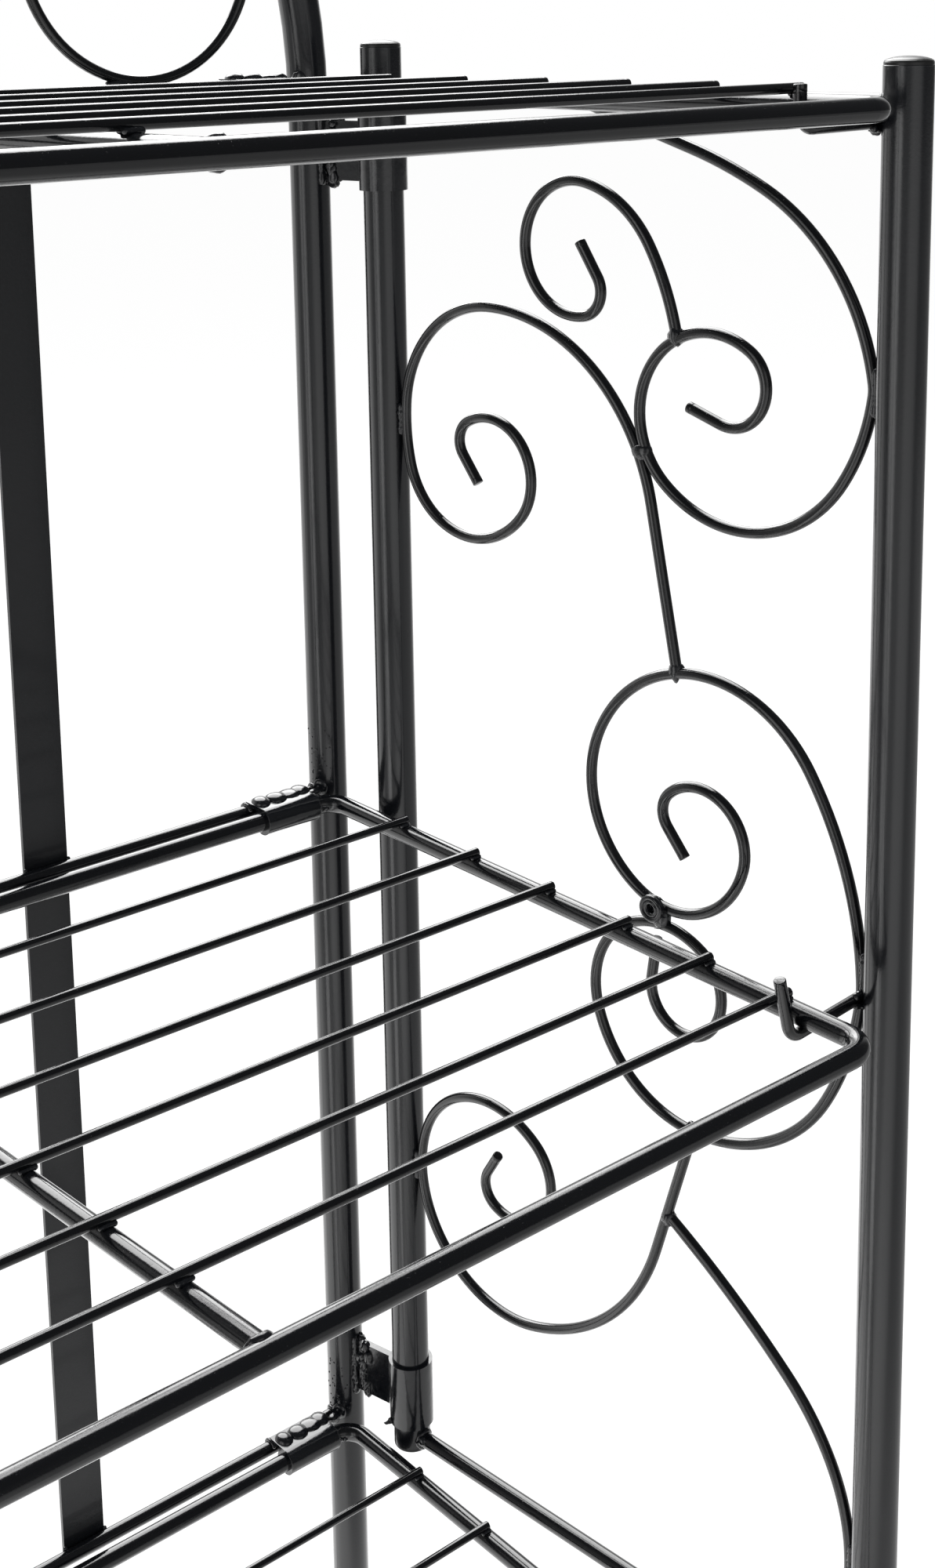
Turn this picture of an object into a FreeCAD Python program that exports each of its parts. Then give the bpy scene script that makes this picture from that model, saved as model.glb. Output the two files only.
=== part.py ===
import FreeCAD, Part
import math
import os

import Sketcher
from FreeCAD import Placement, Rotation, Vector

# A free-standing bakers rack: a back frame with an arched top, a scrolled gate on each side and
# three wire shelves. The origin is on the floor at the middle of the rack, X to the right, Y to the
# back and Z up. The right half is built and the left half is its mirror image.

DIMENSIONS = [
    # stock
    ("tube_diameter", 19, "uprights, legs and gate tubes"),
    ("tube_wall", 1, ""),
    ("frame_rod", 9, "shelf frames"),
    ("gate_rod", 8, "top and bottom rails of the gates"),
    ("cross_rod", 7, "cross rails of the back frame"),
    ("brace_rod", 8, "shelf braces"),
    ("scroll_wire", 5, "scrollwork and shelf hooks"),
    ("shelf_wire", 4, "shelf wires"),
    ("joint_gap", 0.01, "between a scroll's shaped end and the wire that it is welded to"),
    ("running_gap", 0.08, "radial play in the hinges"),
    # shelves
    ("bottom_level", 172, "height of the bottom shelf's frame"),
    ("shelf_pitch", 350, ""),
    ("shelf_half_width", 285, "middle plane to side rail"),
    ("shelf_depth", 340, "rear rail to front rail"),
    ("shelf_rear", 161, "rear rail's place in Y"),
    ("corner_bend", 12, "bend radius of the frame's corners"),
    ("brace_front", 9, "brace's end on the front rail"),
    ("brace_rear", -12, "brace's end on the rear rail"),
    ("wire_half_length", 286, ""),
    ("wire_1", 58, "distances of the wires from the rear rail"),
    ("wire_2", 110, ""),
    ("wire_3", 161, ""),
    ("wire_4", 209, ""),
    ("wire_5", 256, ""),
    ("wire_6", 298, ""),
    # back frame
    ("hoop_half_width", 292, ""),
    ("hoop_back", 174, "plane of the uprights in Y"),
    ("arch_drop", 5, "arch's centre below the top shelf"),
    ("cross_rail_rise", 1.08, "cross rail above the shelf's rear rail"),
    ("strap_place", 134, ""),
    ("strap_width", 22, ""),
    ("strap_thickness", 2, ""),
    ("strap_overhang", 8, "strap beyond the bottom cross rail"),
    ("clip_sheet", 2, "sheet of the shelf clips"),
    ("clip_length", 31, ""),
    ("clip_place", 258, ""),
    ("clip_gap", 5, "open part of the shelf clip"),
    ("clip_lap", 0.8, "flap beyond the cross rail's middle"),
    # gates
    ("leg_place", 328, ""),
    ("leg_front", -152, ""),
    ("gate_tube_place", 302, ""),
    ("gate_tube_back", 130, ""),
    ("leg_top_rise", 13.5, "leg above the top shelf"),
    ("gate_tube_top_rise", 19.7, ""),
    ("gate_tube_rise", 2, "gate tube's end above the bottom shelf's level"),
    ("top_rail_rise", -0.8, "gate rail from the top shelf's level"),
    ("bottom_rail_rise", 6.3, "gate rail from the bottom shelf's level"),
    ("gate_sheet", 1.8, "sheet of the gate clips"),
    ("gate_clip_height", 35, ""),
    ("flange_height", 28, ""),
    ("upper_clip_drop", 45.5, "upper clip's lower edge below the top shelf"),
    ("lower_clip_rise", 14, "lower clip's lower edge above the bottom shelf"),
    ("hook_gap", 0.6, "under the shelf's side rail"),
    ("hook_bend", 7.8, "round the side rail"),
    ("hook_reach", 43, "gate plane to the bend's start"),
    ("hook_turn", 75, "turn of the bend; the tip leans to the inside"),
    ("hook_tip_rise", 19, "tip above the side rail's middle"),
    ("top_hook_turn", 90, ""),
    ("top_hook_tip_rise", 8, ""),
    ("hook_start", 3, "hook's tail beyond the gate plane"),
    ("washer_diameter", 12, ""),
    ("washer_hole", 4, ""),
    ("washer_thickness", 2, ""),
    ("washer_along", 118.4, "washer's place from the leg"),
    ("washer_drop", 351, "washer's place below the top shelf"),
    # caps and feet
    ("plug_flange", 19.6, "diameter of foot and plug flanges"),
    ("plug_stem", 12, "length of the stems in the tubes"),
    ("foot_thickness", 4, ""),
    ("foot_edge", 1.2, "rounded lower edge of a foot"),
    ("cap_rim", 1.2, "straight rim of a domed cap"),
    ("cap_dome", 2.3, "dome above the rim"),
    ("cap_diameter", 18.6, ""),
    # arch scroll
    ("ring_outer", 260, "outermost point of the arch scroll's ring"),
    ("ring_radius", 58, ""),
    ("arch_first_turn", 65, "turn of the arch scroll's first bend"),
]

# Every scroll is one wire bent in steps. Its start is given along the gate from the leg and up from
# the top shelf's level, its heading in degrees from the along direction; then come a straight lead
# and the bends, each a radius and a turn, positive to the left.
SCROLLS = {
    "crown_scroll": ((157.02, -3.4), -163.2, 58.5,
                     [(219.2, 10.3), (98.4, 53.7), (16, 17.3), (89, 24.9), (60.2, 97.7),
                      (37.5, 171.3), (17.5, 165.5)], 17),
    "rear_upper_scroll": ((108.18, -240.5), 78.7, 70.8,
                          [(94.8, -80), (55.2, -84.4), (87.9, -18.1), (39, -48.9),
                           (41.9, -76.7), (26.2, -160.6), (10.6, -97.8)], 15.2),
    "small_curl": ((108.7, -97.2), 76.8, 2,
                   [(116.1, -18.4), (53.4, -47.7), (29.2, -200.8), (11.3, -113.8)], 17.2),
    "middle_scroll_upper": ((12, -355), 90, 0,
                            [(75.9, -3), (162.9, -30.3), (64.8, -120.8), (52.2, -87.8),
                             (39.4, -103.8), (24.2, -147.1), (11.3, -87)], 15),
    "middle_scroll_lower": ((12, -355), -90, 0.3,
                            [(22, 5.8), (138.6, 22.7), (79.1, 61.9), (57.2, 74.3),
                             (39.6, 137.1), (23.3, 106.3), (18.6, 140.7)], 19),
    "rear_lower_scroll": ((97.65, -449.8), -72.6, 71.1,
                          [(111.7, 57.5), (60.5, 48.1), (57.3, 80.5), (47.9, 104.5),
                           (25.7, 167.5), (11.6, 96.5)], 13),
    "foot_scroll": ((110.5, -497.9), -149.3, 0,
                    [(409.4, 11.3), (105, 20.2), (94.888, 27.8)], 77),
}

doc = FreeCAD.newDocument("bakers_rack")
sheet = doc.addObject("Spreadsheet::Sheet", "Sizes")


def write_size(row, alias, value, note):
    """Put one driving dimension in the sheet and give its cell an alias."""
    sheet.set("A%d" % row, alias)
    sheet.set("B%d" % row, str(value))
    sheet.set("C%d" % row, note)
    sheet.setAlias("B%d" % row, alias)


def scroll_sizes():
    """The bending steps of the scrolls as sheet rows."""
    for name, (start, heading, lead, bends, tail) in SCROLLS.items():
        yield name + "_along", start[0], "start"
        yield name + "_up", start[1], ""
        yield name + "_heading", heading, ""
        yield name + "_lead", lead, ""
        yield name + "_tail", tail, ""
        for step, (radius, turn) in enumerate(bends, 1):
            yield "%s_radius_%d" % (name, step), radius, ""
            yield "%s_turn_%d" % (name, step), turn, ""


for sheet_row, (alias, value, note) in enumerate(DIMENSIONS + list(scroll_sizes()), 1):
    write_size(sheet_row, alias, value, note)
doc.recompute()


def size(alias):
    """Value of one driving dimension."""
    return float(sheet.get(alias))


def bound(expression):
    """Expression text in which a leading @ marks a sheet alias."""
    return expression.replace("@", "Sizes.")


# ---------------------------------------------------------------- working helpers

nodes = []


def keep(obj, label):
    """Name a finished sub-part and list it for writing."""
    obj.Label = label
    nodes.append(obj)
    return obj


def new_body(label, placement=Placement()):
    body = doc.addObject("PartDesign::Body", label)
    body.Placement = placement
    return body


def new_sketch(body, role, lift="0"):
    """Sketch on one of the body's own origin planes, moved along the plane's normal."""
    sketch = body.newObject("Sketcher::SketchObject", "Sketch")
    plane = next(item for item in body.Origin.OriginFeatures if item.Role == role)
    sketch.AttachmentSupport = [(plane, "")]
    sketch.MapMode = "FlatFace"
    sketch.setExpression("AttachmentOffset.Base.z", bound(lift))
    return sketch


def bind(sketch, constraint, expression):
    """Add a dimension to the sketch and bind it to the sheet."""
    sketch.setExpression("Constraints[%d]" % sketch.addConstraint(constraint), bound(expression))


def add_circle(sketch, diameter, across="0", up="0"):
    """Circle with a bound diameter, at a bound place from the sketch's origin."""
    circle = sketch.addGeometry(Part.Circle(Vector(0, 0, 0), Vector(0, 0, 1), 5))
    bind(sketch, Sketcher.Constraint("Diameter", circle, 10), diameter)
    if across == "0" and up == "0":
        sketch.addConstraint(Sketcher.Constraint("Coincident", circle, 3, -1, 1))
        return
    bind(sketch, Sketcher.Constraint("DistanceX", -1, 1, circle, 3, 1), across)
    bind(sketch, Sketcher.Constraint("DistanceY", -1, 1, circle, 3, 1), up)


def add_rectangle(sketch, left, right, low, high):
    """Upright rectangle with its four sides bound."""
    corners = [Vector(-1, -1, 0), Vector(1, -1, 0), Vector(1, 1, 0), Vector(-1, 1, 0)]
    sides = [sketch.addGeometry(Part.LineSegment(corners[i], corners[(i + 1) % 4])) for i in range(4)]
    for i in range(4):
        sketch.addConstraint(Sketcher.Constraint("Coincident", sides[i], 2, sides[(i + 1) % 4], 1))
        sketch.addConstraint(Sketcher.Constraint(("Horizontal", "Vertical")[i % 2], sides[i]))
    bind(sketch, Sketcher.Constraint("DistanceX", -1, 1, sides[0], 1, -1), left)
    bind(sketch, Sketcher.Constraint("DistanceX", -1, 1, sides[0], 2, 1), right)
    bind(sketch, Sketcher.Constraint("DistanceY", -1, 1, sides[0], 1, -1), low)
    bind(sketch, Sketcher.Constraint("DistanceY", -1, 1, sides[2], 1, 1), high)


def pad(body, sketch, length, both_ways=False):
    feature = body.newObject("PartDesign::Pad", "Pad")
    feature.Profile = sketch
    feature.SideType = "Symmetric" if both_ways else "One side"
    feature.setExpression("Length", bound(length))
    return feature


def cut_through(body, sketch):
    """Cut the sketch's outline through the whole body, to both sides of the sketch."""
    feature = body.newObject("PartDesign::Pocket", "Pocket")
    feature.Profile = sketch
    feature.Type = "ThroughAll"
    feature.SideType = "Symmetric"
    doc.recompute()
    if feature.Shape.Volume >= feature.BaseFeature.Shape.Volume:
        raise ValueError("a cut in %s takes nothing away" % body.Name)
    return feature


def pipe(body, profile, path):
    feature = body.newObject("PartDesign::AdditivePipe", "Pipe")
    feature.Profile = profile
    feature.Spine = (path, [""])
    return feature


def mirrored(source, label):
    """Mirror image of a sub-part in the rack's middle plane."""
    image = doc.addObject("Part::Mirroring", label)
    image.Source = source
    image.Base = Vector(0, 0, 0)
    image.Normal = Vector(1, 0, 0)
    return image


def keep_pair(right, name):
    """Keep a right-hand sub-part and its mirror image; a star in the name is the side."""
    keep(right, name.replace("*", "right"))
    left_name = name.replace("*", "left")
    keep(mirrored(right, left_name), left_name)


def solid_feature(label, shape, placement=Placement()):
    feature = doc.addObject("Part::Feature", label)
    feature.Shape = shape
    feature.Placement = placement
    return feature


def heading_vector(heading):
    return Vector(math.cos(math.radians(heading)), 0, math.sin(math.radians(heading)))


def bent_wire(start, heading, steps, diameter):
    """Wire bent in the XZ plane. A step is a straight length, or a (radius, turn) bend."""
    point = Vector(start[0], 0, start[1])
    ahead = heading_vector(heading)
    edges = []
    profile = Part.Wire(Part.makeCircle(diameter / 2, point, ahead))
    for step in steps:
        if isinstance(step, tuple):
            radius, turn = step
            centre = point + heading_vector(heading + math.copysign(90, turn)) * radius
            middle = centre - heading_vector(heading + turn / 2 + math.copysign(90, turn)) * radius
            heading += turn
            finish = centre - heading_vector(heading + math.copysign(90, turn)) * radius
            edges.append(Part.Arc(point, middle, finish).toShape())
        else:
            finish = point + heading_vector(heading) * step
            edges.append(Part.LineSegment(point, finish).toShape())
        point = finish
    return Part.Wire(edges).makePipeShell([profile], True, False)


# ---------------------------------------------------------------- levels and places

LEVELS = {"bottom": size("bottom_level"),
          "middle": size("bottom_level") + size("shelf_pitch"),
          "top": size("bottom_level") + 2 * size("shelf_pitch")}
TOP = LEVELS["top"]
TUBE_RADIUS = size("tube_diameter") / 2
WIRE_RADIUS = size("scroll_wire") / 2

leg_axis = Vector(size("leg_place"), size("leg_front"), 0)
gate_tube_axis = Vector(size("gate_tube_place"), size("gate_tube_back"), 0)
upright_axis = Vector(size("hoop_half_width"), size("hoop_back"), 0)
along_gate = gate_tube_axis - leg_axis
GATE_LENGTH = along_gate.Length


def turned(base, direction):
    """Placement at base with X along a level direction and Z up."""
    return Placement(base, Rotation(Vector(0, 0, 1), math.degrees(math.atan2(direction.y, direction.x))))


def gate_place(lift=0):
    """The gate's own frame: X from the leg to the gate tube, Y to the inside, Z up."""
    return turned(leg_axis + Vector(0, 0, lift), along_gate)


# ---------------------------------------------------------------- tubes, caps and feet

def upright_tube(label, base, top_height):
    """Straight vertical tube from its base to a height."""
    body = new_body(label, Placement(base, Rotation()))
    sketch = new_sketch(body, "XY_Plane")
    add_circle(sketch, "@tube_diameter")
    add_circle(sketch, "@tube_diameter - 2 * @tube_wall")
    tube_pad = pad(body, sketch, "1")
    tube_pad.setExpression("Length", None)
    tube_pad.Length = top_height - base.z
    return body


def plug(label, base, outline, downward):
    """Turned plastic plug: a head outside the tube's end and a stem inside it."""
    tilt = Rotation(Vector(1, 0, 0), 180) if downward else Rotation()
    body = new_body(label, Placement(base, tilt))
    sketch = new_sketch(body, "XZ_Plane")
    stem = size("tube_diameter") / 2 - size("tube_wall") - size("running_gap")
    points = [(0, -size("plug_stem")), (stem, -size("plug_stem")), (stem, 0)] + outline
    for start, finish in zip(points, points[1:] + points[:1]):
        sketch.addGeometry(Part.LineSegment(Vector(start[0], start[1], 0), Vector(finish[0], finish[1], 0)))
    for i in range(len(points)):
        following = (i + 1) % len(points)
        sketch.addConstraint(Sketcher.Constraint("Coincident", i, 2, following, 1))
    turning = body.newObject("PartDesign::Revolution", "Revolution")
    turning.Profile = sketch
    turning.ReferenceAxis = (sketch, ["V_Axis"])
    turning.Angle = 360
    return body


def dome_outline():
    """Outline of a domed cap's head, from the rim to the crown."""
    radius = size("cap_diameter") / 2
    rim, dome = size("cap_rim"), size("cap_dome")
    steps = [15 * k for k in range(6)]
    arc = [(radius * math.cos(math.radians(a)), rim + dome * math.sin(math.radians(a))) for a in steps]
    return [(radius, 0)] + arc + [(0, rim + dome)]


def foot_outline():
    """Outline of a foot's flange with its outer edge broken."""
    radius, thickness, edge = size("plug_flange") / 2, size("foot_thickness"), size("foot_edge")
    return [(radius, 0), (radius, thickness - edge), (radius - edge, thickness), (0, thickness)]


def foot(label, axis):
    return plug(label, Vector(axis.x, axis.y, size("foot_thickness")), foot_outline(), True)


# ---------------------------------------------------------------- back frame

def build_hoop():
    """Both uprights and the arch, one bent tube."""
    body = new_body("hoop_body", Placement(Vector(0, size("hoop_back"), size("foot_thickness")), Rotation()))
    path = new_sketch(body, "XZ_Plane")
    half, top = size("hoop_half_width"), TOP - size("arch_drop") - size("foot_thickness")
    left = path.addGeometry(Part.LineSegment(Vector(-half, 0, 0), Vector(-half, top, 0)))
    arch = path.addGeometry(
        Part.ArcOfCircle(Part.Circle(Vector(0, top, 0), Vector(0, 0, 1), half), 0, math.pi))
    right = path.addGeometry(Part.LineSegment(Vector(half, top, 0), Vector(half, 0, 0)))
    path.addConstraint(Sketcher.Constraint("Tangent", left, 2, arch, 2))
    path.addConstraint(Sketcher.Constraint("Tangent", arch, 1, right, 1))
    path.addConstraint(Sketcher.Constraint("Vertical", left))
    path.addConstraint(Sketcher.Constraint("Vertical", right))
    path.addConstraint(Sketcher.Constraint("PointOnObject", arch, 3, -2))
    path.addConstraint(Sketcher.Constraint("PointOnObject", left, 1, -1))
    path.addConstraint(Sketcher.Constraint("PointOnObject", right, 2, -1))
    bind(path, Sketcher.Constraint("Radius", arch, half), "@hoop_half_width")
    bind(path, Sketcher.Constraint("DistanceY", left, 1, left, 2, top),
         "@bottom_level + 2 * @shelf_pitch - @arch_drop - @foot_thickness")
    profile = new_sketch(body, "XY_Plane")
    add_circle(profile, "@tube_diameter", "-@hoop_half_width")
    add_circle(profile, "@tube_diameter - 2 * @tube_wall", "-@hoop_half_width")
    pipe(body, profile, path)
    return keep(body, "back_hoop")


def cross_rail(level_name):
    """Rod between the uprights, its ends shaped to their round sides."""
    height = LEVELS[level_name] + size("cross_rail_rise")
    rise = max(0, height + size("cross_rod") / 2 - TOP + size("arch_drop"))
    half = size("hoop_half_width")
    lean = str(round(half - math.sqrt(half ** 2 - rise ** 2), 3))
    body = new_body("cross_rail_body", Placement(Vector(0, size("hoop_back"), height), Rotation()))
    section = new_sketch(body, "YZ_Plane")
    add_circle(section, "@cross_rod")
    pad(body, section, "2 * @hoop_half_width", both_ways=True)
    doc.recompute()
    ends = new_sketch(body, "XY_Plane")
    add_circle(ends, "@tube_diameter", "@hoop_half_width - " + lean)
    add_circle(ends, "@tube_diameter", lean + " - @hoop_half_width")
    cut_through(body, ends)
    return keep(body, "back_rail_" + level_name)


def strap():
    """Flat strip behind the cross rails, from below the bottom one to the top one's upper side."""
    bar = doc.addObject("Part::Box", "strap_box")
    bar.setExpression("Length", bound("@strap_width"))
    bar.setExpression("Width", bound("@strap_thickness"))
    bar.setExpression("Height", bound("2 * @shelf_pitch + @strap_overhang + @cross_rod / 2"))
    bar.setExpression("Placement.Base.x", bound("@strap_place - @strap_width / 2"))
    bar.setExpression("Placement.Base.y", bound("@hoop_back + @cross_rod / 2"))
    bar.setExpression("Placement.Base.z", bound("@bottom_level + @cross_rail_rise - @strap_overhang"))
    return bar


def arch_scroll():
    """Wire from the crown of the arch down its inner side, round a ring and into a spiral."""
    crown = TOP - size("arch_drop") + size("hoop_half_width") - TUBE_RADIUS - WIRE_RADIUS
    ring = size("ring_radius")
    rail_top = TOP + size("cross_rail_rise") + size("cross_rod") / 2
    ring_centre = rail_top + WIRE_RADIUS + ring
    first = math.radians(size("arch_first_turn"))
    # two bends lead from the crown, level, to the ring's outermost point, straight down
    across, down = size("ring_outer"), crown - ring_centre
    s, c = math.sin(first), math.cos(first)
    outer = (across * c - down * (1 - s)) / (s * c - (1 - c) * (1 - s))
    inner = (across - outer * s) / (1 - s)
    steps = [(outer, -math.degrees(first)), (inner, math.degrees(first) - 90),
             (ring, -180), (ring * 0.72, -150), (ring * 0.42, -140), (ring * 0.28, -130)]
    shape = bent_wire((0, crown), 0, steps, size("scroll_wire"))
    return solid_feature("arch_scroll_right", shape, Placement(Vector(0, size("hoop_back"), 0), Rotation()))


def shelf_clip(level_name):
    """Folded sheet: a sleeve open at the lower back, and a flap lying on the cross rail."""
    place = Vector(size("clip_place"), size("shelf_rear"), LEVELS[level_name])
    body = new_body("shelf_clip_body", Placement(place, Rotation()))
    outer = "(@frame_rod / 2 + @running_gap + @clip_sheet)"
    section = new_sketch(body, "YZ_Plane")
    add_circle(section, "2 * " + outer)
    pad(body, section, "@clip_length", both_ways=True)
    flap = new_sketch(body, "YZ_Plane")
    add_rectangle(flap, "0", "@hoop_back - @shelf_rear + @clip_lap",
                  outer + " - @clip_sheet", outer)
    pad(body, flap, "@clip_length", both_ways=True)
    doc.recompute()
    bore = new_sketch(body, "YZ_Plane")
    add_circle(bore, "@frame_rod + 2 * @running_gap")
    cut_through(body, bore)
    opening = new_sketch(body, "YZ_Plane")
    add_rectangle(opening, "1", "@frame_rod", "-@frame_rod", "-@frame_rod / 2 + @clip_gap / 2")
    cut_through(body, opening)
    pair = doc.addObject("Part::Compound", "shelf_clip_pair")
    pair.Links = [body, mirrored(body, "shelf_clip_image")]
    return keep(pair, "shelf_clips_" + level_name)


def gate_clip(height):
    """Folded sheet: a sleeve round the gate tube and a flange welded to the upright."""
    to_upright = upright_axis - gate_tube_axis
    reach = str(round(to_upright.Length, 3))
    body = new_body("gate_clip_body", turned(gate_tube_axis + Vector(0, 0, height), to_upright))
    sleeve = new_sketch(body, "XY_Plane")
    add_circle(sleeve, "@tube_diameter + 2 * (@running_gap + @gate_sheet)")
    pad(body, sleeve, "@gate_clip_height")
    flange = new_sketch(body, "XY_Plane", "(@gate_clip_height - @flange_height) / 2")
    add_rectangle(flange, "@tube_diameter / 4", reach, "-@gate_sheet", "@gate_sheet")
    pad(body, flange, "@flange_height")
    doc.recompute()
    bore = new_sketch(body, "XY_Plane")
    add_circle(bore, "@tube_diameter + 2 * @running_gap")
    cut_through(body, bore)
    seat = new_sketch(body, "XY_Plane")
    add_circle(seat, "@tube_diameter", reach)
    cut_through(body, seat)
    return body


def build_back_frame():
    build_hoop()
    for level_name in LEVELS:
        cross_rail(level_name)
        shelf_clip(level_name)
    keep_pair(strap(), "back_strap_*")
    keep_pair(arch_scroll(), "arch_scroll_*")
    pair = doc.addObject("Part::Compound", "gate_clip_pair")
    pair.Links = [gate_clip(TOP - size("upper_clip_drop")),
                  gate_clip(LEVELS["bottom"] + size("lower_clip_rise"))]
    keep_pair(pair, "gate_clips_*")
    feet = doc.addObject("Part::Compound", "hoop_feet_pair")
    right_foot = foot("hoop_foot", upright_axis)
    feet.Links = [right_foot, mirrored(right_foot, "hoop_foot_image")]
    keep(feet, "hoop_feet")


# ---------------------------------------------------------------- gates

def gate_rail(height, name):
    """Rod from the leg to the gate tube, its ends shaped to their round sides."""
    body = new_body("gate_rail_body", gate_place(height))
    section = new_sketch(body, "YZ_Plane")
    add_circle(section, "@gate_rod")
    rail_pad = pad(body, section, "1")
    rail_pad.setExpression("Length", None)
    rail_pad.Length = GATE_LENGTH
    doc.recompute()
    ends = new_sketch(body, "XY_Plane")
    add_circle(ends, "@tube_diameter")
    add_circle(ends, "@tube_diameter", str(round(GATE_LENGTH, 3)))
    cut_through(body, ends)
    keep_pair(body, name)
    return body


def scroll_shape(name, gap=0.0):
    """One scroll's wire in the gate's frame, from its bending steps in the sheet."""
    bend_count = len(SCROLLS[name][3])
    bends = [(size("%s_radius_%d" % (name, k)), size("%s_turn_%d" % (name, k)))
             for k in range(1, bend_count + 1)]
    steps = [step for step in [size(name + "_lead")] + bends + [size(name + "_tail")] if step]
    start = (size(name + "_along"), TOP + size(name + "_up"))
    return bent_wire(start, size(name + "_heading"), steps, size("scroll_wire") + 2 * gap)


def middle_shape(gap=0.0):
    """The middle scroll, one wire whose two halves start from its place on the leg."""
    halves = [scroll_shape("middle_scroll_" + half, gap) for half in ("upper", "lower")]
    return halves[0].fuse(halves[1])


def shaped(shape, *others):
    """The wire with its ends shaped to the pieces that it is welded to."""
    pieces = shape.cut(list(others)).Solids
    return max(pieces, key=lambda solid: solid.Volume)


def gate_scrolls(top_rail, bottom_rail):
    """The six bent wires of a gate."""
    gap = size("joint_gap")
    home = gate_place().inverse().toMatrix()
    tops, bottoms = top_rail.Shape.transformed(home), bottom_rail.Shape.transformed(home)
    middle_tool = middle_shape(gap)
    crown_tool = scroll_shape("crown_scroll", gap)
    rear_lower = shaped(scroll_shape("rear_lower_scroll"), middle_tool)
    wires = {
        "middle_scroll": middle_shape(),
        "crown_scroll": shaped(scroll_shape("crown_scroll"), tops),
        "rear_upper_scroll": shaped(scroll_shape("rear_upper_scroll"), middle_tool, crown_tool),
        "small_curl": shaped(scroll_shape("small_curl"), crown_tool),
        "rear_lower_scroll": rear_lower,
        "foot_scroll": shaped(scroll_shape("foot_scroll"), scroll_shape("rear_lower_scroll", gap), bottoms),
    }
    for name, shape in wires.items():
        keep_pair(solid_feature(name, shape, gate_place()), "gate_*_" + name)


def shelf_hook(kind, level):
    """J-shaped hook: a level run under the side rail, a bend round it and a straight tip."""
    bar = -size("frame_rod") / 2 - WIRE_RADIUS - size("hook_gap")
    bend, turn = size("hook_bend"), size(kind + "_turn")
    lean = math.radians(turn)
    level_run = size("hook_start") + size("hook_reach")
    tip = (size(kind + "_tip_rise") - bar - bend * (1 - math.cos(lean))) / math.sin(lean)
    hook = bent_wire((-size("hook_start"), bar), 0, [level_run, (bend, turn), tip], size("scroll_wire"))
    hook.rotate(Vector(0, 0, 0), Vector(0, 0, 1), 90)
    hook.translate(Vector(TUBE_RADIUS + WIRE_RADIUS, 0, level))
    return hook


def shelf_hooks():
    """Three hooks square to the gate behind its leg; the top one has a short upright tip."""
    scroll = middle_shape(size("joint_gap"))
    hooks = [shaped(shelf_hook("top_hook" if level == TOP else "hook", level), scroll)
             for level in LEVELS.values()]
    return solid_feature("shelf_hooks", Part.makeCompound(hooks), gate_place())


def tie_washer():
    """Small pierced disc on the inner side of the middle scroll, where its two lobes meet."""
    base = gate_place(TOP - size("washer_drop"))
    inward = Rotation(Vector(1, 0, 0), -90)
    spot = base.multiply(Placement(Vector(size("washer_along"), WIRE_RADIUS, 0), inward))
    body = new_body("washer_body", spot)
    sketch = new_sketch(body, "XY_Plane")
    add_circle(sketch, "@washer_diameter")
    add_circle(sketch, "@washer_hole")
    pad(body, sketch, "@washer_thickness")
    return body


def build_gates():
    floor_gap = Vector(0, 0, size("foot_thickness"))
    leg_top = TOP + size("leg_top_rise")
    tube_top = TOP + size("gate_tube_top_rise")
    tube_base = Vector(gate_tube_axis.x, gate_tube_axis.y, LEVELS["bottom"] + size("gate_tube_rise"))
    keep_pair(upright_tube("leg_body", leg_axis + floor_gap, leg_top), "gate_*_leg")
    keep_pair(upright_tube("gate_tube_body", tube_base, tube_top), "gate_*_tube")
    top_rail = gate_rail(TOP + size("top_rail_rise"), "gate_*_top_rail")
    bottom_rail = gate_rail(LEVELS["bottom"] + size("bottom_rail_rise"), "gate_*_bottom_rail")
    gate_scrolls(top_rail, bottom_rail)
    keep_pair(shelf_hooks(), "gate_*_shelf_hooks")
    keep_pair(tie_washer(), "gate_*_tie_washer")
    keep_pair(plug("leg_cap", leg_axis + Vector(0, 0, leg_top), dome_outline(), False), "gate_*_leg_cap")
    keep_pair(plug("tube_cap", gate_tube_axis + Vector(0, 0, tube_top), dome_outline(), False),
              "gate_*_tube_cap")
    keep_pair(foot("leg_foot", leg_axis), "gate_*_leg_foot")
    keep_pair(plug("tube_plug", tube_base, dome_outline(), True), "gate_*_tube_plug")


# ---------------------------------------------------------------- shelves

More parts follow.
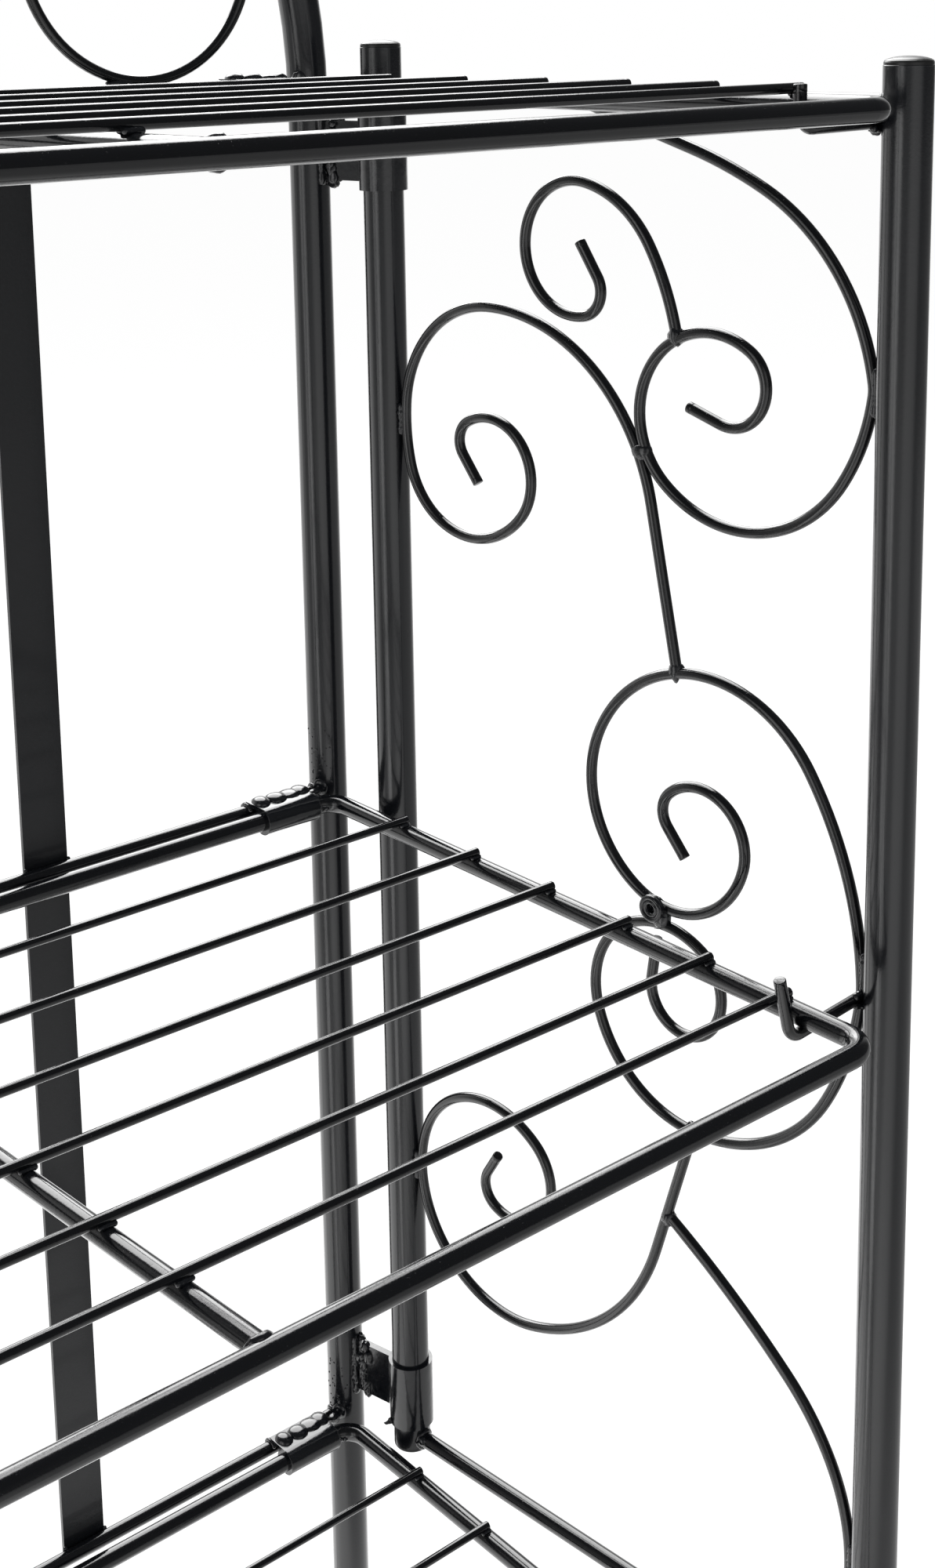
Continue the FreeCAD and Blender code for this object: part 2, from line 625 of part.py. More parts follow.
def shelf_frame(name, base):
    """Rod bent into a rounded rectangle that starts and ends in the middle of its rear rail."""
    body = new_body("frame_body", Placement(base, Rotation()))
    path = new_sketch(body, "XY_Plane")
    half, depth, bend = size("shelf_half_width"), size("shelf_depth"), size("corner_bend")
    edge = half - bend
    lines = [((-edge, 0), (edge, 0)), ((half, -bend), (half, bend - depth)),
             ((edge, -depth), (-edge, -depth)), ((-half, bend - depth), (-half, -bend))]
    rails = [path.addGeometry(Part.LineSegment(Vector(*a, 0), Vector(*b, 0))) for a, b in lines]
    centres = [(edge, -bend), (edge, bend - depth), (-edge, bend - depth), (-edge, -bend)]
    quarter = math.pi / 2
    bends = []
    for k, centre in enumerate(centres):
        circle = Part.Circle(Vector(*centre, 0), Vector(0, 0, 1), bend)
        bends.append(path.addGeometry(Part.ArcOfCircle(circle, -k * quarter, (1 - k) * quarter)))
    for k in range(4):
        path.addConstraint(Sketcher.Constraint("Tangent", rails[k], 2, bends[k], 2))
        path.addConstraint(Sketcher.Constraint("Tangent", bends[k], 1, rails[(k + 1) % 4], 1))
        path.addConstraint(Sketcher.Constraint(("Horizontal", "Vertical")[k % 2], rails[k]))
        bind(path, Sketcher.Constraint("Radius", bends[k], bend), "@corner_bend")
    path.addConstraint(Sketcher.Constraint("PointOnObject", rails[0], 1, -1))
    bind(path, Sketcher.Constraint("DistanceX", -1, 1, rails[1], 1, half), "@shelf_half_width")
    bind(path, Sketcher.Constraint("DistanceX", rails[3], 1, -1, 1, half), "@shelf_half_width")
    bind(path, Sketcher.Constraint("DistanceY", rails[2], 1, -1, 1, depth), "@shelf_depth")
    profile = new_sketch(body, "YZ_Plane")
    add_circle(profile, "@frame_rod")
    pipe(body, profile, path)
    return keep(body, name + "_frame")


def rod_between(label, start, finish, diameter):
    """Straight round rod between two points of the shelf."""
    rod = doc.addObject("Part::Cylinder", label)
    rod.setExpression("Radius", bound(diameter + " / 2"))
    rod.Height = (finish - start).Length
    rod.Placement = Placement(start, Rotation(Vector(0, 0, 1), finish - start))
    return rod


def shelf_brace(name, base):
    """Rod under the wires from the front rail to the rear rail, its ends shaped to them."""
    front = base + Vector(size("brace_front"), -size("shelf_depth"), 0)
    rear = base + Vector(size("brace_rear"), 0, 0)
    side = Vector(size("corner_bend") * 4, 0, 0)
    brace = rod_between("brace_rod", front, rear, "@brace_rod")
    ends = doc.addObject("Part::MultiFuse", "brace_ends")
    ends.Shapes = [rod_between("front_end", front - side, front + side, "@frame_rod"),
                   rod_between("rear_end", rear - side, rear + side, "@frame_rod")]
    shaped = doc.addObject("Part::Cut", "brace_cut")
    shaped.Base = brace
    shaped.Tool = ends
    return keep(shaped, name + "_brace")


def shelf_wires(name, base):
    """Six wires across the shelf, lying on the side rails and the brace."""
    lift = (size("frame_rod") + size("shelf_wire")) / 2
    half = Vector(size("wire_half_length"), 0, 0)
    wires = []
    for number in range(1, 7):
        middle = base + Vector(0, -size("wire_%d" % number), lift)
        wires.append(rod_between("shelf_wire", middle - half, middle + half, "@shelf_wire"))
    group = doc.addObject("Part::Compound", "wire_group")
    group.Links = wires
    return keep(group, name + "_wires")


def build_shelves():
    for level_name, level in LEVELS.items():
        name = level_name + "_shelf"
        base = Vector(0, size("shelf_rear"), level)
        shelf_frame(name, base)
        shelf_brace(name, base)
        shelf_wires(name, base)


# ---------------------------------------------------------------- build, test and write

build_back_frame()
build_gates()
build_shelves()
doc.recompute()

for obj in doc.Objects:
    if "Invalid" in obj.State or "Error" in obj.State:
        raise ValueError("%s (%s) failed" % (obj.Name, obj.Label))

os.makedirs("parts", exist_ok=True)
for node in nodes:
    if node.Shape.isNull() or not node.Shape.isValid() or not node.Shape.Solids:
        raise ValueError("%s has no valid solid" % node.Label)
for node in nodes:
    node.Shape.exportStep(os.path.join("parts", node.Label + ".step"))
    print("%-34s solids %d volume %9.0f" % (node.Label, len(node.Shape.Solids), node.Shape.Volume))
print(len(nodes), "sub-parts")
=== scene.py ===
"""Bakers rack: an arched back frame, two scrolled side gates and three fold-up wire shelves.

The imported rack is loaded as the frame. This file gives every piece its finish, and adds what the
welder and the painter leave behind: beads at the joints, rounded wire ends, rims and spatter.
All sizes are in metres, in the rack's own frame: X to the right, Y to the back and Z up.
"""

import logging
import math
import random
from dataclasses import dataclass, field
from enum import Enum
from typing import Sequence

import bpy
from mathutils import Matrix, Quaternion, Vector, noise


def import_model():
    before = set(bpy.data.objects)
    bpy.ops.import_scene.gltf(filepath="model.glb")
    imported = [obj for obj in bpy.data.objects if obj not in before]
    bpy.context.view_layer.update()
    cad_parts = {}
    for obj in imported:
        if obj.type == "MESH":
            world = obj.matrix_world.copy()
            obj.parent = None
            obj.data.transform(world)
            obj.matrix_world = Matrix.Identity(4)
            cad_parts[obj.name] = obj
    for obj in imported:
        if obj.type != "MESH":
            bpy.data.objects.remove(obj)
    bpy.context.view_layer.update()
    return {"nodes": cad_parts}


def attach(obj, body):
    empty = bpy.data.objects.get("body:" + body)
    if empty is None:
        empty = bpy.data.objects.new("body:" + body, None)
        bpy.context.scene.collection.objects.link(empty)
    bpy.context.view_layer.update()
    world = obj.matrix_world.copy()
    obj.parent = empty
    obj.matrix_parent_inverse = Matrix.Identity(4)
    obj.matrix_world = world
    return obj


LOG = logging.getLogger("bakers_rack")
UP = Vector((0.0, 0.0, 1.0))
RIGHTWARD = Vector((1.0, 0.0, 0.0))
BACKWARD = Vector((0.0, 1.0, 0.0))
BOTH = (-1.0, 1.0)
# Blender's noise vectors start from the clock unless they are given a seed.
NOISE_SEED = 5

Socket = bpy.types.NodeSocket
Material = bpy.types.Material
Pair = tuple[float, float]
Triple = tuple[float, float, float]
Quad = tuple[float, float, float, float]
Points = list[Vector]
Spots = list[tuple[Vector, Vector]]
Stations = list[tuple[Vector, Vector, float]]
Nodes = dict[str, bpy.types.Object]


class Side(Enum):
    """The rack's two sides, with the sign of X on each."""

    LEFT = -1.0
    RIGHT = 1.0

    @property
    def label(self) -> str:
        """The side's name as the nodes spell it."""
        return self.name.lower()

    def at(self, x: float, y: float = 0.0, z: float = 0.0) -> Vector:
        """A place or a direction, with X counted outward on this side."""
        return Vector((self.value * x, y, z))


class Level(Enum):
    """The three shelves, with the height of each one's frame rod."""

    BOTTOM = 0.172
    MIDDLE = 0.522
    TOP = 0.872

    @property
    def label(self) -> str:
        """The shelf's name as the nodes spell it."""
        return self.name.lower()


class Ending(Enum):
    """How a sweep ends."""

    ROUND = "round"
    CUT = "cut"
    CLOSED_LOOP = "closed loop"


# A sweep's closing point lies this far ahead, and a bead's puddles lie this far apart, in radii.
TIP_RISE = 0.04
PUDDLE_PITCH = 1.35
# How far ahead of a sweep's end each closing section lies and how large it is, in radii.
ENDING_STEPS = {
    Ending.ROUND: [(math.sin(turn), math.cos(turn))
                   for turn in map(math.radians, (22.0, 44.0, 64.0, 82.0))],
    Ending.CUT: [(0.05, 0.985), (0.12, 0.93), (0.15, 0.84)],
}


def bearing(azimuth: float, height: float = 0.0) -> Vector:
    """Unit vector at an angle round from the X axis and one above the floor, both in degrees."""
    turn, rise = math.radians(azimuth), math.radians(height)
    return Vector((math.cos(turn) * math.cos(rise), math.sin(turn) * math.cos(rise), math.sin(rise)))


def cosine(degrees: float) -> float:
    """The cosine of an angle in degrees."""
    return math.cos(math.radians(degrees))


def raised(level: Vector, angle: float) -> Vector:
    """A level unit vector turned up by an angle in degrees."""
    return level * cosine(angle) + UP * cosine(90.0 - angle)


# ---------------- finishes


# The numbers of the colour sockets on a mix node.
COLOUR_INPUTS = (6, 7)
COLOUR_OUTPUT = 2


class NodeBoard:
    """Lays out shader nodes and joins them."""

    def __init__(self, owner: Material | bpy.types.World, place: str = "Object") -> None:
        """Start an empty node tree.

        Args:
            owner: the material or the surroundings that they belong to.
            place: the texture coordinate of the patterns.
        """
        owner.use_nodes = True
        self.owner = owner
        self.tree = owner.node_tree
        self.tree.nodes.clear()
        self.place = self.add("ShaderNodeTexCoord").outputs[place]

    def add(self, kind: str, **inputs: object) -> bpy.types.Node:
        """Add a node and fill or join its inputs.

        Args:
            kind: Blender's name for the node type.
            **inputs: inputs by name, with underscores for spaces, as in put.

        Returns:
            The new node.
        """
        node = self.tree.nodes.new(kind)
        for key, value in inputs.items():
            self.put(node, key.replace("_", " "), value)
        return node

    def put(self, node: bpy.types.Node, key: str | int, value: object) -> None:
        """Set one input to a value, or join an output to it.

        Args:
            node: the node.
            key: the input's name or number.
            value: a number, a colour or an output socket.
        """
        if isinstance(value, Socket):
            self.tree.links.new(value, node.inputs[key])
        else:
            node.inputs[key].default_value = value

    def worked(self, kind: str, operation: str, *values: object) -> bpy.types.Node:
        """Add a calculation.

        Args:
            kind: "Math" for numbers or "VectorMath" for vectors.
            operation: Blender's name for the calculation.
            *values: what it works with.

        Returns:
            The new node.
        """
        node = self.tree.nodes.new("ShaderNode" + kind)
        node.operation = operation
        for index, value in enumerate(values):
            self.put(node, index, value)
        return node

    def noise(self, scale: float, detail: float = 2.0, stretch: Vector | None = None) -> Socket:
        """A noise pattern fixed to the object.

        Args:
            scale: features per metre.
            detail: octaves of finer noise.
            stretch: optional scale of the three axes.

        Returns:
            The pattern's value.
        """
        place = self.place
        if stretch is not None:
            mapping = self.add("ShaderNodeMapping", Vector=place, Scale=stretch)
            place = mapping.outputs["Vector"]
        noise_node = self.add("ShaderNodeTexNoise", Vector=place, Scale=scale, Detail=detail, Roughness=0.6)
        return noise_node.outputs["Fac"]

    def ranged(self, value: Socket, low: float, high: float, to_low: float = 0.0, to_high: float = 1.0,
               smooth: bool = False) -> Socket:
        """Map a value from one range to another, clamped.

        Args:
            value: the value's socket.
            low: where the change starts.
            high: where it ends.
            to_low: the output at the start.
            to_high: the output at the end.
            smooth: whether it eases in and out.

        Returns:
            The mapped value.
        """
        node = self.add("ShaderNodeMapRange", Value=value)
        if smooth:
            node.interpolation_type = "SMOOTHSTEP"
        for key, number in zip(("From Min", "From Max", "To Min", "To Max"), (low, high, to_low, to_high)):
            node.inputs[key].default_value = number
        return node.outputs["Result"]

    def mixed(self, share: Socket, first: object, second: object) -> Socket:
        """Mix two colours.

        Args:
            share: how much of the second colour shows.
            first: a colour or its socket.
            second: a colour or its socket.

        Returns:
            The mixed colour.
        """
        node = self.tree.nodes.new("ShaderNodeMix")
        node.data_type = "RGBA"
        for key, value in (("Factor", share), (COLOUR_INPUTS[0], first), (COLOUR_INPUTS[1], second)):
            self.put(node, key, value)
        return node.outputs[COLOUR_OUTPUT]

    def summed(self, total: Socket, *values: Socket | float) -> Socket:
        """Add values up.

        Args:
            total: the first value's socket.
            *values: what is added to it.

        Returns:
            The sum.
        """
        for value in values:
            total = self.worked("Math", "ADD", total, value).outputs[0]
        return total

    def scaled(self, value: Socket, factor: Socket) -> Socket:
        """The product of two values."""
        return self.worked("Math", "MULTIPLY", value, factor).outputs[0]

    def match(self, direction: Socket, aim: Vector) -> Socket:
        """The dot product of a direction and a fixed one."""
        return self.worked("VectorMath", "DOT_PRODUCT", direction, aim).outputs["Value"]

    def close(self, surface: Socket, kind: str = "ShaderNodeOutputMaterial") -> Material | bpy.types.World:
        """Join the surface to the output, and hand back the owner of the nodes."""
        self.add(kind, Surface=surface)
        return self.owner


def grey(level: float, tint: float = 0.0) -> Quad:
    """A near-neutral linear colour that leans to blue by its tint."""
    return (level * (1.0 - tint), level * (1.0 - 0.4 * tint), level * (1.0 + tint), 1.0)


@dataclass(frozen=True)
class CoatedSteel:
    """Black powder coat on steel: even in tone, with orange peel, nibs and light handling scuffs."""

    name: str
    dark: float = 0.0058
    light: float = 0.0088
    roughness: float = 0.2
    spread: float = 0.05
    tone_scale: float = 7.0
    nib_scale: float = 1500.0
    nib_span: Pair = (0.735, 0.79)
    nib_height: float = 0.00005
    scuff_scale: float = 60.0
    scuff_stretch: float = 0.22
    rub_span: Pair = (0.66, 0.80)
    rub: float = 0.25
    gloss_scale: float = 38.0
    peel_scale: float = 620.0
    peel_depth: float = 0.00005
    wave_scale: float = 95.0
    waviness: float = 0.0
    clear_coat: Pair = (0.22, 0.08)
    slot: str = "coated_steel"

    def material(self) -> Material:
        """Build the coat's node material.

        Returns:
            The material.
        """
        board = NodeBoard(bpy.data.materials.new(self.name))
        tone = board.ranged(board.noise(self.tone_scale, 4.0), 0.35, 0.68)
        base = board.mixed(tone, grey(self.dark, 0.2), grey(self.light, 0.16))
        nibs = board.ranged(board.noise(self.nib_scale, 1.0), *self.nib_span, to_high=0.6)
        base = board.mixed(nibs, base, grey(self.light * 2.2, 0.05))
        scuff = board.noise(self.scuff_scale, 5.0, Vector((1.0, 1.0, self.scuff_stretch)))
        rubbed = board.ranged(scuff, *self.rub_span, to_high=self.rub)
        base = board.mixed(rubbed, base, grey(self.light * 2.6, 0.02))
        gloss = board.ranged(board.noise(self.gloss_scale, 6.0), 0.3, 0.72,
                             self.roughness - self.spread, self.roughness + self.spread)
        gloss = board.summed(gloss, board.ranged(scuff, 0.64, 0.80, to_high=0.14))
        peel = board.ranged(board.noise(self.peel_scale, 3.0), 0.0, 1.0, to_high=self.peel_depth)
        waves = board.ranged(board.noise(self.wave_scale), 0.0, 1.0, to_high=self.waviness)
        height = board.summed(peel, board.ranged(nibs, 0.0, 0.6, to_high=self.nib_height), waves)
        bump = board.add("ShaderNodeBump", Height=height, Distance=1.0, Strength=0.8)
        weight, coat_roughness = self.clear_coat
        shader = board.add("ShaderNodeBsdfPrincipled", Base_Color=base, Roughness=gloss, IOR=1.5,
                           Normal=bump.outputs["Normal"], Coat_Weight=weight, Coat_Roughness=coat_roughness)
        return board.close(shader.outputs["BSDF"])


@dataclass(frozen=True)
class MouldedPlastic:
    """Black moulded plug plastic: fine grain, a soft sheen and dusty scuffs."""

    name: str
    dark: float = 0.007
    light: float = 0.012
    roughness: float = 0.3
    cloud_scale: float = 55.0
    dust_scale: float = 420.0
    grain_scale: float = 2600.0
    grain: float = 0.00003
    flow_scale: float = 160.0
    flow: float = 0.00008
    slot: str = "cap_plastic"

    def material(self) -> Material:
        """Build the plastic's node material.

        Returns:
            The material.
        """
        board = NodeBoard(bpy.data.materials.new(self.name))
        cloud = board.noise(self.cloud_scale, 5.0)
        base = board.mixed(board.ranged(cloud, 0.3, 0.7), grey(self.dark), grey(self.light))
        dust = board.ranged(board.noise(self.dust_scale, 4.0), 0.62, 0.80, to_high=0.35)
        base = board.mixed(dust, base, grey(self.light * 2.4))
        gloss = board.ranged(cloud, 0.3, 0.7, self.roughness - 0.06, self.roughness + 0.09)
        grain = board.ranged(board.noise(self.grain_scale), 0.0, 1.0, to_high=self.grain)
        flow = board.ranged(board.noise(self.flow_scale), 0.0, 1.0, to_high=self.flow)
        bump = board.add("ShaderNodeBump", Height=board.summed(grain, flow), Distance=1.0, Strength=0.7)
        shader = board.add("ShaderNodeBsdfPrincipled", Base_Color=base, Roughness=gloss,
                           Normal=bump.outputs["Normal"], IOR=1.42)
        return board.close(shader.outputs["BSDF"])


@dataclass(frozen=True)
class SideGlow:
    """A soft upright band of light that only reflections show."""

    azimuth: float
    core: float
    edge: float
    strength: float

    def level(self, board: NodeBoard, heading: Socket) -> Socket:
        """The band's strength for the level part of a direction."""
        match = board.match(heading, bearing(self.azimuth))
        return board.ranged(match, cosine(self.edge), cosine(self.core), to_high=self.strength, smooth=True)


SIDE_GLOWS = (SideGlow(75.0, 38.0, 74.0, 0.9), SideGlow(182.0, 3.0, 21.0, 1.75),
              SideGlow(258.0, 6.0, 34.0, 0.52), SideGlow(195.0, 30.0, 110.0, 0.2))


def side_light(board: NodeBoard) -> Socket:
    """The light that reflections see round the rack at about its own height.

    Args:
        board: the nodes that it is added to; its places are directions from the rack.

    Returns:
        The strength.
    """
    flat = board.worked("VectorMath", "MULTIPLY", board.place, (1.0, 1.0, 0.0)).outputs["Vector"]
    heading = board.worked("VectorMath", "NORMALIZE", flat).outputs["Vector"]
    return board.summed(*(glow.level(board, heading) for glow in SIDE_GLOWS))


@dataclass(frozen=True)
class StudioPaper:
    """Seamless pale paper: it takes a soft shadow and reads as white behind the rack; reflections see it
    glow with a painted pool of light near the rack and painted bands of light round it.
    """

    name: str
    tone: float = 0.36
    glow: float = 0.80
    # Painted light seen only in reflections: an even glow, and a painted pool of brighter light near the
    # rack.
    mirrored_base: float = 0.10
    painted_pool_strength: float = 0.42
    near: Pair = (0.25, 1.1)

    def material(self) -> Material:
        """Build the paper's node material.

        Returns:
            The material.
        """
        board = NodeBoard(bpy.data.materials.new(self.name))
        fibre = board.ranged(board.noise(24.0, 6.0), 0.3, 0.7)
        tone = board.mixed(fibre, grey(self.tone), grey(self.tone * 1.015))
        paper = board.add("ShaderNodeBsdfDiffuse", Color=tone)
        path = board.add("ShaderNodeLightPath")
        away = board.worked("VectorMath", "LENGTH", board.place).outputs["Value"]
        near_pool_light = board.ranged(away, self.near[0], self.near[1], self.mirrored_base + self.painted_pool_strength,
                                self.mirrored_base, smooth=True)
        # Glossy rays see the floor glow: the painted pool near the rack plus painted bands of light round
        # it; camera rays see it evenly white.
        mirrored = board.scaled(board.summed(near_pool_light, side_light(board)), path.outputs["Is Glossy Ray"])
        seen = board.summed(path.outputs["Is Camera Ray"], path.outputs["Is Transmission Ray"])
        strength = board.summed(board.ranged(seen, 0.0, 1.0, to_high=self.glow), mirrored)
        glow = board.add("ShaderNodeEmission", Strength=strength)
        both = board.add("ShaderNodeAddShader")
        board.put(both, 0, paper.outputs[0])
        board.put(both, 1, glow.outputs[0])
        return board.close(both.outputs[0])


Finish = CoatedSteel | MouldedPlastic


class FinishRack:
    """The materials of the whole rack, each made once."""

    def __init__(self) -> None:
        """Make every finish."""
        self.tube = CoatedSteel("tube_coat")
        self.rod = CoatedSteel("rod_coat", dark=0.0036, light=0.0056, roughness=0.13, spread=0.04,
                               peel_scale=760.0)
        self.wire = CoatedSteel("wire_coat", dark=0.0030, light=0.0046, roughness=0.11, spread=0.035,
                                peel_scale=900.0, rub=0.35)
        self.sheet = CoatedSteel("sheet_coat", roughness=0.17, waviness=0.0004)
        self.strap = CoatedSteel("strap_coat", dark=0.0048, light=0.0064, roughness=0.42,
                                 peel_depth=0.00009)
        self.weld = CoatedSteel("weld_coat", roughness=0.14, peel_scale=480.0, peel_depth=0.00008,
                                waviness=0.0004, rub=0.15)
        self.plastic = MouldedPlastic("plug_plastic")
        self.made: dict[str, Material] = {}

    def of(self, finish: Finish) -> Material:
        """The finish's material, made on its first use.

        Args:
            finish: one of this class's finishes.

        Returns:
            The material.
        """
        if finish.name not in self.made:
            self.made[finish.name] = finish.material()
        return self.made[finish.name]


# ---------------- mesh building


class Filler:
    """Gathers swept beads, lumps and wire ends into one mesh."""

    def __init__(self, seed: int) -> None:
        """Start an empty mesh.

        Args:
            seed: the start of its irregularities.
        """
        self.points: Points = []
        self.faces: list[tuple[int, ...]] = []
        self.chance = random.Random(seed)

    def ring(self, centre: Vector, across: Vector, other: Vector, radius: float, sides: int) -> list[int]:
        """Add a ring of points.

        Args:
            centre: the ring's centre.
            across: unit vector in the ring's plane.
            other: unit vector in the plane, square to the first.
            radius: the ring's radius.
            sides: how many points it has.

        Returns:
            The points' indices.
        """
        first = len(self.points)
        for k in range(sides):
            angle = 2.0 * math.pi * k / sides
            self.points.append(centre + (across * math.cos(angle) + other * math.sin(angle)) * radius)
        return list(range(first, first + sides))

    def bridge(self, lower: Sequence[int], upper: Sequence[int]) -> None:
        """Join two rings of equal length with four-sided faces."""
        for k, after in enumerate([*range(1, len(lower)), 0]):
            self.faces.append((lower[k], lower[after], upper[after], upper[k]))

    def sweep(self, path: Sequence[Vector], radii: Sequence[float], ending: Ending = Ending.ROUND,
              sides: int = 12) -> None:
        """Sweep a round section of changing radius along a path.

        Args:
            path: the points of the path.
            radii: the radius at each point.
            ending: round or cut ends, or a closed loop.
            sides: how many points the section has.
        """
        loop = ending is Ending.CLOSED_LOOP
        count = len(path)
        ahead = []
        for k in range(count):
            before = path[k - 1] if loop or k > 0 else path[k]
            after = path[(k + 1) % count] if loop or k < count - 1 else path[k]
            ahead.append((after - before).normalized())
        across = ahead[0].orthogonal().normalized()
        rings = []
        stations = list(zip(path, ahead, radii))
        if not loop:
            stations = self.capped(stations, ENDING_STEPS[ending])
        for centre, forward, radius in stations:
            across = (across - forward * across.dot(forward)).normalized()
            rings.append(self.ring(centre, across, forward.cross(across), radius, sides))
        for lower, upper in zip(rings, rings[1:]):
            self.bridge(lower, upper)
        if loop:
            self.close_loop(rings[-1], rings[0])
            return
        for end, forward, flip in ((rings[0], -ahead[0], True), (rings[-1], ahead[-1], False)):
            tip = sum((self.points[i] for i in end), Vector()) / sides + forward * radii[0] * TIP_RISE
            self.fan(end, tip, flip)

    def capped(self, stations: Stations, steps: Sequence[Pair]) -> Stations:
        """Add shrinking sections at both ends of a sweep.

        Args:
            stations: centre, direction and radius of each section.
            steps: how far ahead each added one lies and how large it is, in radii.

        Returns:
            The sections with their ends.
        """
        ends = []
        for (centre, forward, radius), way in ((stations[0], -1.0), (stations[-1], 1.0)):
            ends.append([(centre + forward * radius * ahead * way, forward, radius * shrink)
                         for ahead, shrink in steps])
        return ends[0][::-1] + stations + ends[1]

    def close_loop(self, end: Sequence[int], start: Sequence[int]) -> None:
        """Join the last ring of a loop to its first, turned to the nearest match.

        Args:
            end: the last ring.
            start: the first ring.
        """
        count = len(end)
        origin = self.points[end[0]]
        shift = min(range(count), key=lambda k: (self.points[start[k]] - origin).length)
        self.bridge(end, [start[(k + shift) % count] for k in range(count)])

    def fan(self, ring: Sequence[int], tip: Vector, flip: bool = False) -> None:
        """Close a ring with a point.

        Args:
            ring: the ring.
            tip: the point.
            flip: whether the faces turn the other way.
        """
        self.points.append(tip)
        last = len(self.points) - 1
        for k, after in enumerate([*range(1, len(ring)), 0]):
            face = (ring[k], ring[after], last)
            self.faces.append(face[::-1] if flip else face)

    def bead(self, path: Sequence[Vector], size: float, ending: Ending = Ending.ROUND,
             ripple: float = 0.10) -> None:
        """Lay a rippled weld bead along a path.

        Args:
            path: the bead's centre line.
            size: the bead's mean radius.
            ending: round ends, or a closed loop.
            ripple: how strongly the radius varies.
        """
        phase = self.chance.uniform(0.0, 6.28)
        seed = Vector((self.chance.uniform(0.0, 50.0), 3.1, 7.7))
        pitch = size * PUDDLE_PITCH
        run = 0.0
        radii = []
        centres = []
        for k, point in enumerate(path):
            if k:
                run += (point - path[k - 1]).length
            wave = math.sin(2.0 * math.pi * run / pitch + phase)
            drift = noise.noise(seed + point * 260.0)
            radii.append(size * (1.0 + ripple * 0.6 * wave + ripple * 1.8 * drift))
            centres.append(point + noise.noise_vector(seed + point * 180.0) * size * 0.12)
        self.sweep(centres, radii, ending)

    def straight(self, start: Vector, run: Vector, steps: int, size: float, ripple: float = 0.10) -> None:
        """Lay a straight weld bead from a place along a run."""
        self.bead(line(start, start + run, steps), size, ripple=ripple)

    def lump(self, centre: Vector, size: Triple, along: Vector, out: Vector,
             rough: float = 0.16, rows: int = 9, sides: int = 16) -> None:
        """Add a blob of weld metal.

        Args:
            centre: the blob's centre.
            size: half lengths along, across and outward.
            along: unit vector of the first half length.
            out: unit vector of the third half length.
            rough: how uneven it is.
            rows: how many bands it has along.
            sides: how many points each band has.
        """
        out = (out - along * out.dot(along)).normalized()
        across = out.cross(along)
        seed = Vector((self.chance.uniform(0.0, 40.0), 1.7, 2.9))
        rings = []
        for row in range(1, rows):
            tilt = math.pi * row / rows - math.pi / 2.0
            first = len(self.points)
            for k in range(sides):
                turn = 2.0 * math.pi * k / sides
                unit = Vector((math.sin(tilt), math.cos(tilt) * math.cos(turn),
                               math.cos(tilt) * math.sin(turn)))
                swell = 1.0 + rough * (noise.noise(seed + unit * 1.3)
                                       + 0.5 * noise.noise(seed + unit * 3.1))
                self.points.append(centre + (along * unit.x * size[0] + across * unit.y * size[1]
                                             + out * unit.z * size[2]) * swell)
            rings.append(list(range(first, first + sides)))
        for lower, upper in zip(rings, rings[1:]):
            self.bridge(lower, upper)
        self.fan(rings[0], centre - along * size[0] * (1.0 - rough * 0.3), flip=True)
        self.fan(rings[-1], centre + along * size[0] * (1.0 - rough * 0.3))

    def spatter(self, spots: Spots, smallest: float, largest: float) -> None:
        """Add small drops of weld spatter, coated over.

        Args:
            spots: each drop's place and the direction out of the surface there.
            smallest: the least radius.
            largest: the greatest radius.
        """
        for place, out in spots:
            size = self.chance.uniform(smallest, largest)
            shape = (size, size * self.chance.uniform(0.8, 1.2), size * 0.7)
            self.lump(place, shape, out.orthogonal().normalized(), out, rough=0.3, rows=5, sides=8)

    def wire_end(self, place: Vector, direction: Vector, radius: float) -> None:
        """Add the cut, slightly uneven end of a coated wire."""
        path = line(place - direction * radius * 0.9, place, 3)
        self.sweep(path, [radius * 1.015] * len(path), Ending.CUT, sides=18)

    def piece(self, name: str, finish: Material, body: str) -> None:
        """Make the object, dress it and set it on its body.

        Args:
            name: its name.
            finish: its material.
            body: the body that it rides on.
        """
        mesh = bpy.data.meshes.new(name)
        mesh.from_pydata([tuple(p) for p in self.points], [], self.faces)
        mesh.update()
        mesh.materials.append(finish)
        mesh.polygons.foreach_set("use_smooth", [True] * len(mesh.polygons))
        made = bpy.data.objects.new(name, mesh)
        bpy.context.scene.collection.objects.link(made)
        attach(made, body)
        LOG.info("piece %s: %d faces on %s", name, len(self.faces), body)


def line(start: Vector, finish: Vector, steps: int) -> Points:
    """Evenly spaced points on a straight line, with both its ends."""
    return [start.lerp(finish, k / (steps - 1)) for k in range(steps)]


def arc(centre: Vector, first: Vector, second: Vector, radius: float,
        start: float, finish: float, steps: int) -> Points:
    """Points on an arc.

    Args:
        centre: the arc's centre.
        first: unit vector at angle 0.
        second: unit vector at 90 degrees.
        radius: the arc's radius.
        start: the first angle in degrees.
        finish: the last angle in degrees.
        steps: how many points.

    Returns:
        The points.
    """
    points = []
    for k in range(steps):
        angle = math.radians(start + (finish - start) * k / (steps - 1))
        points.append(centre + (first * math.cos(angle) + second * math.sin(angle)) * radius)
    return points


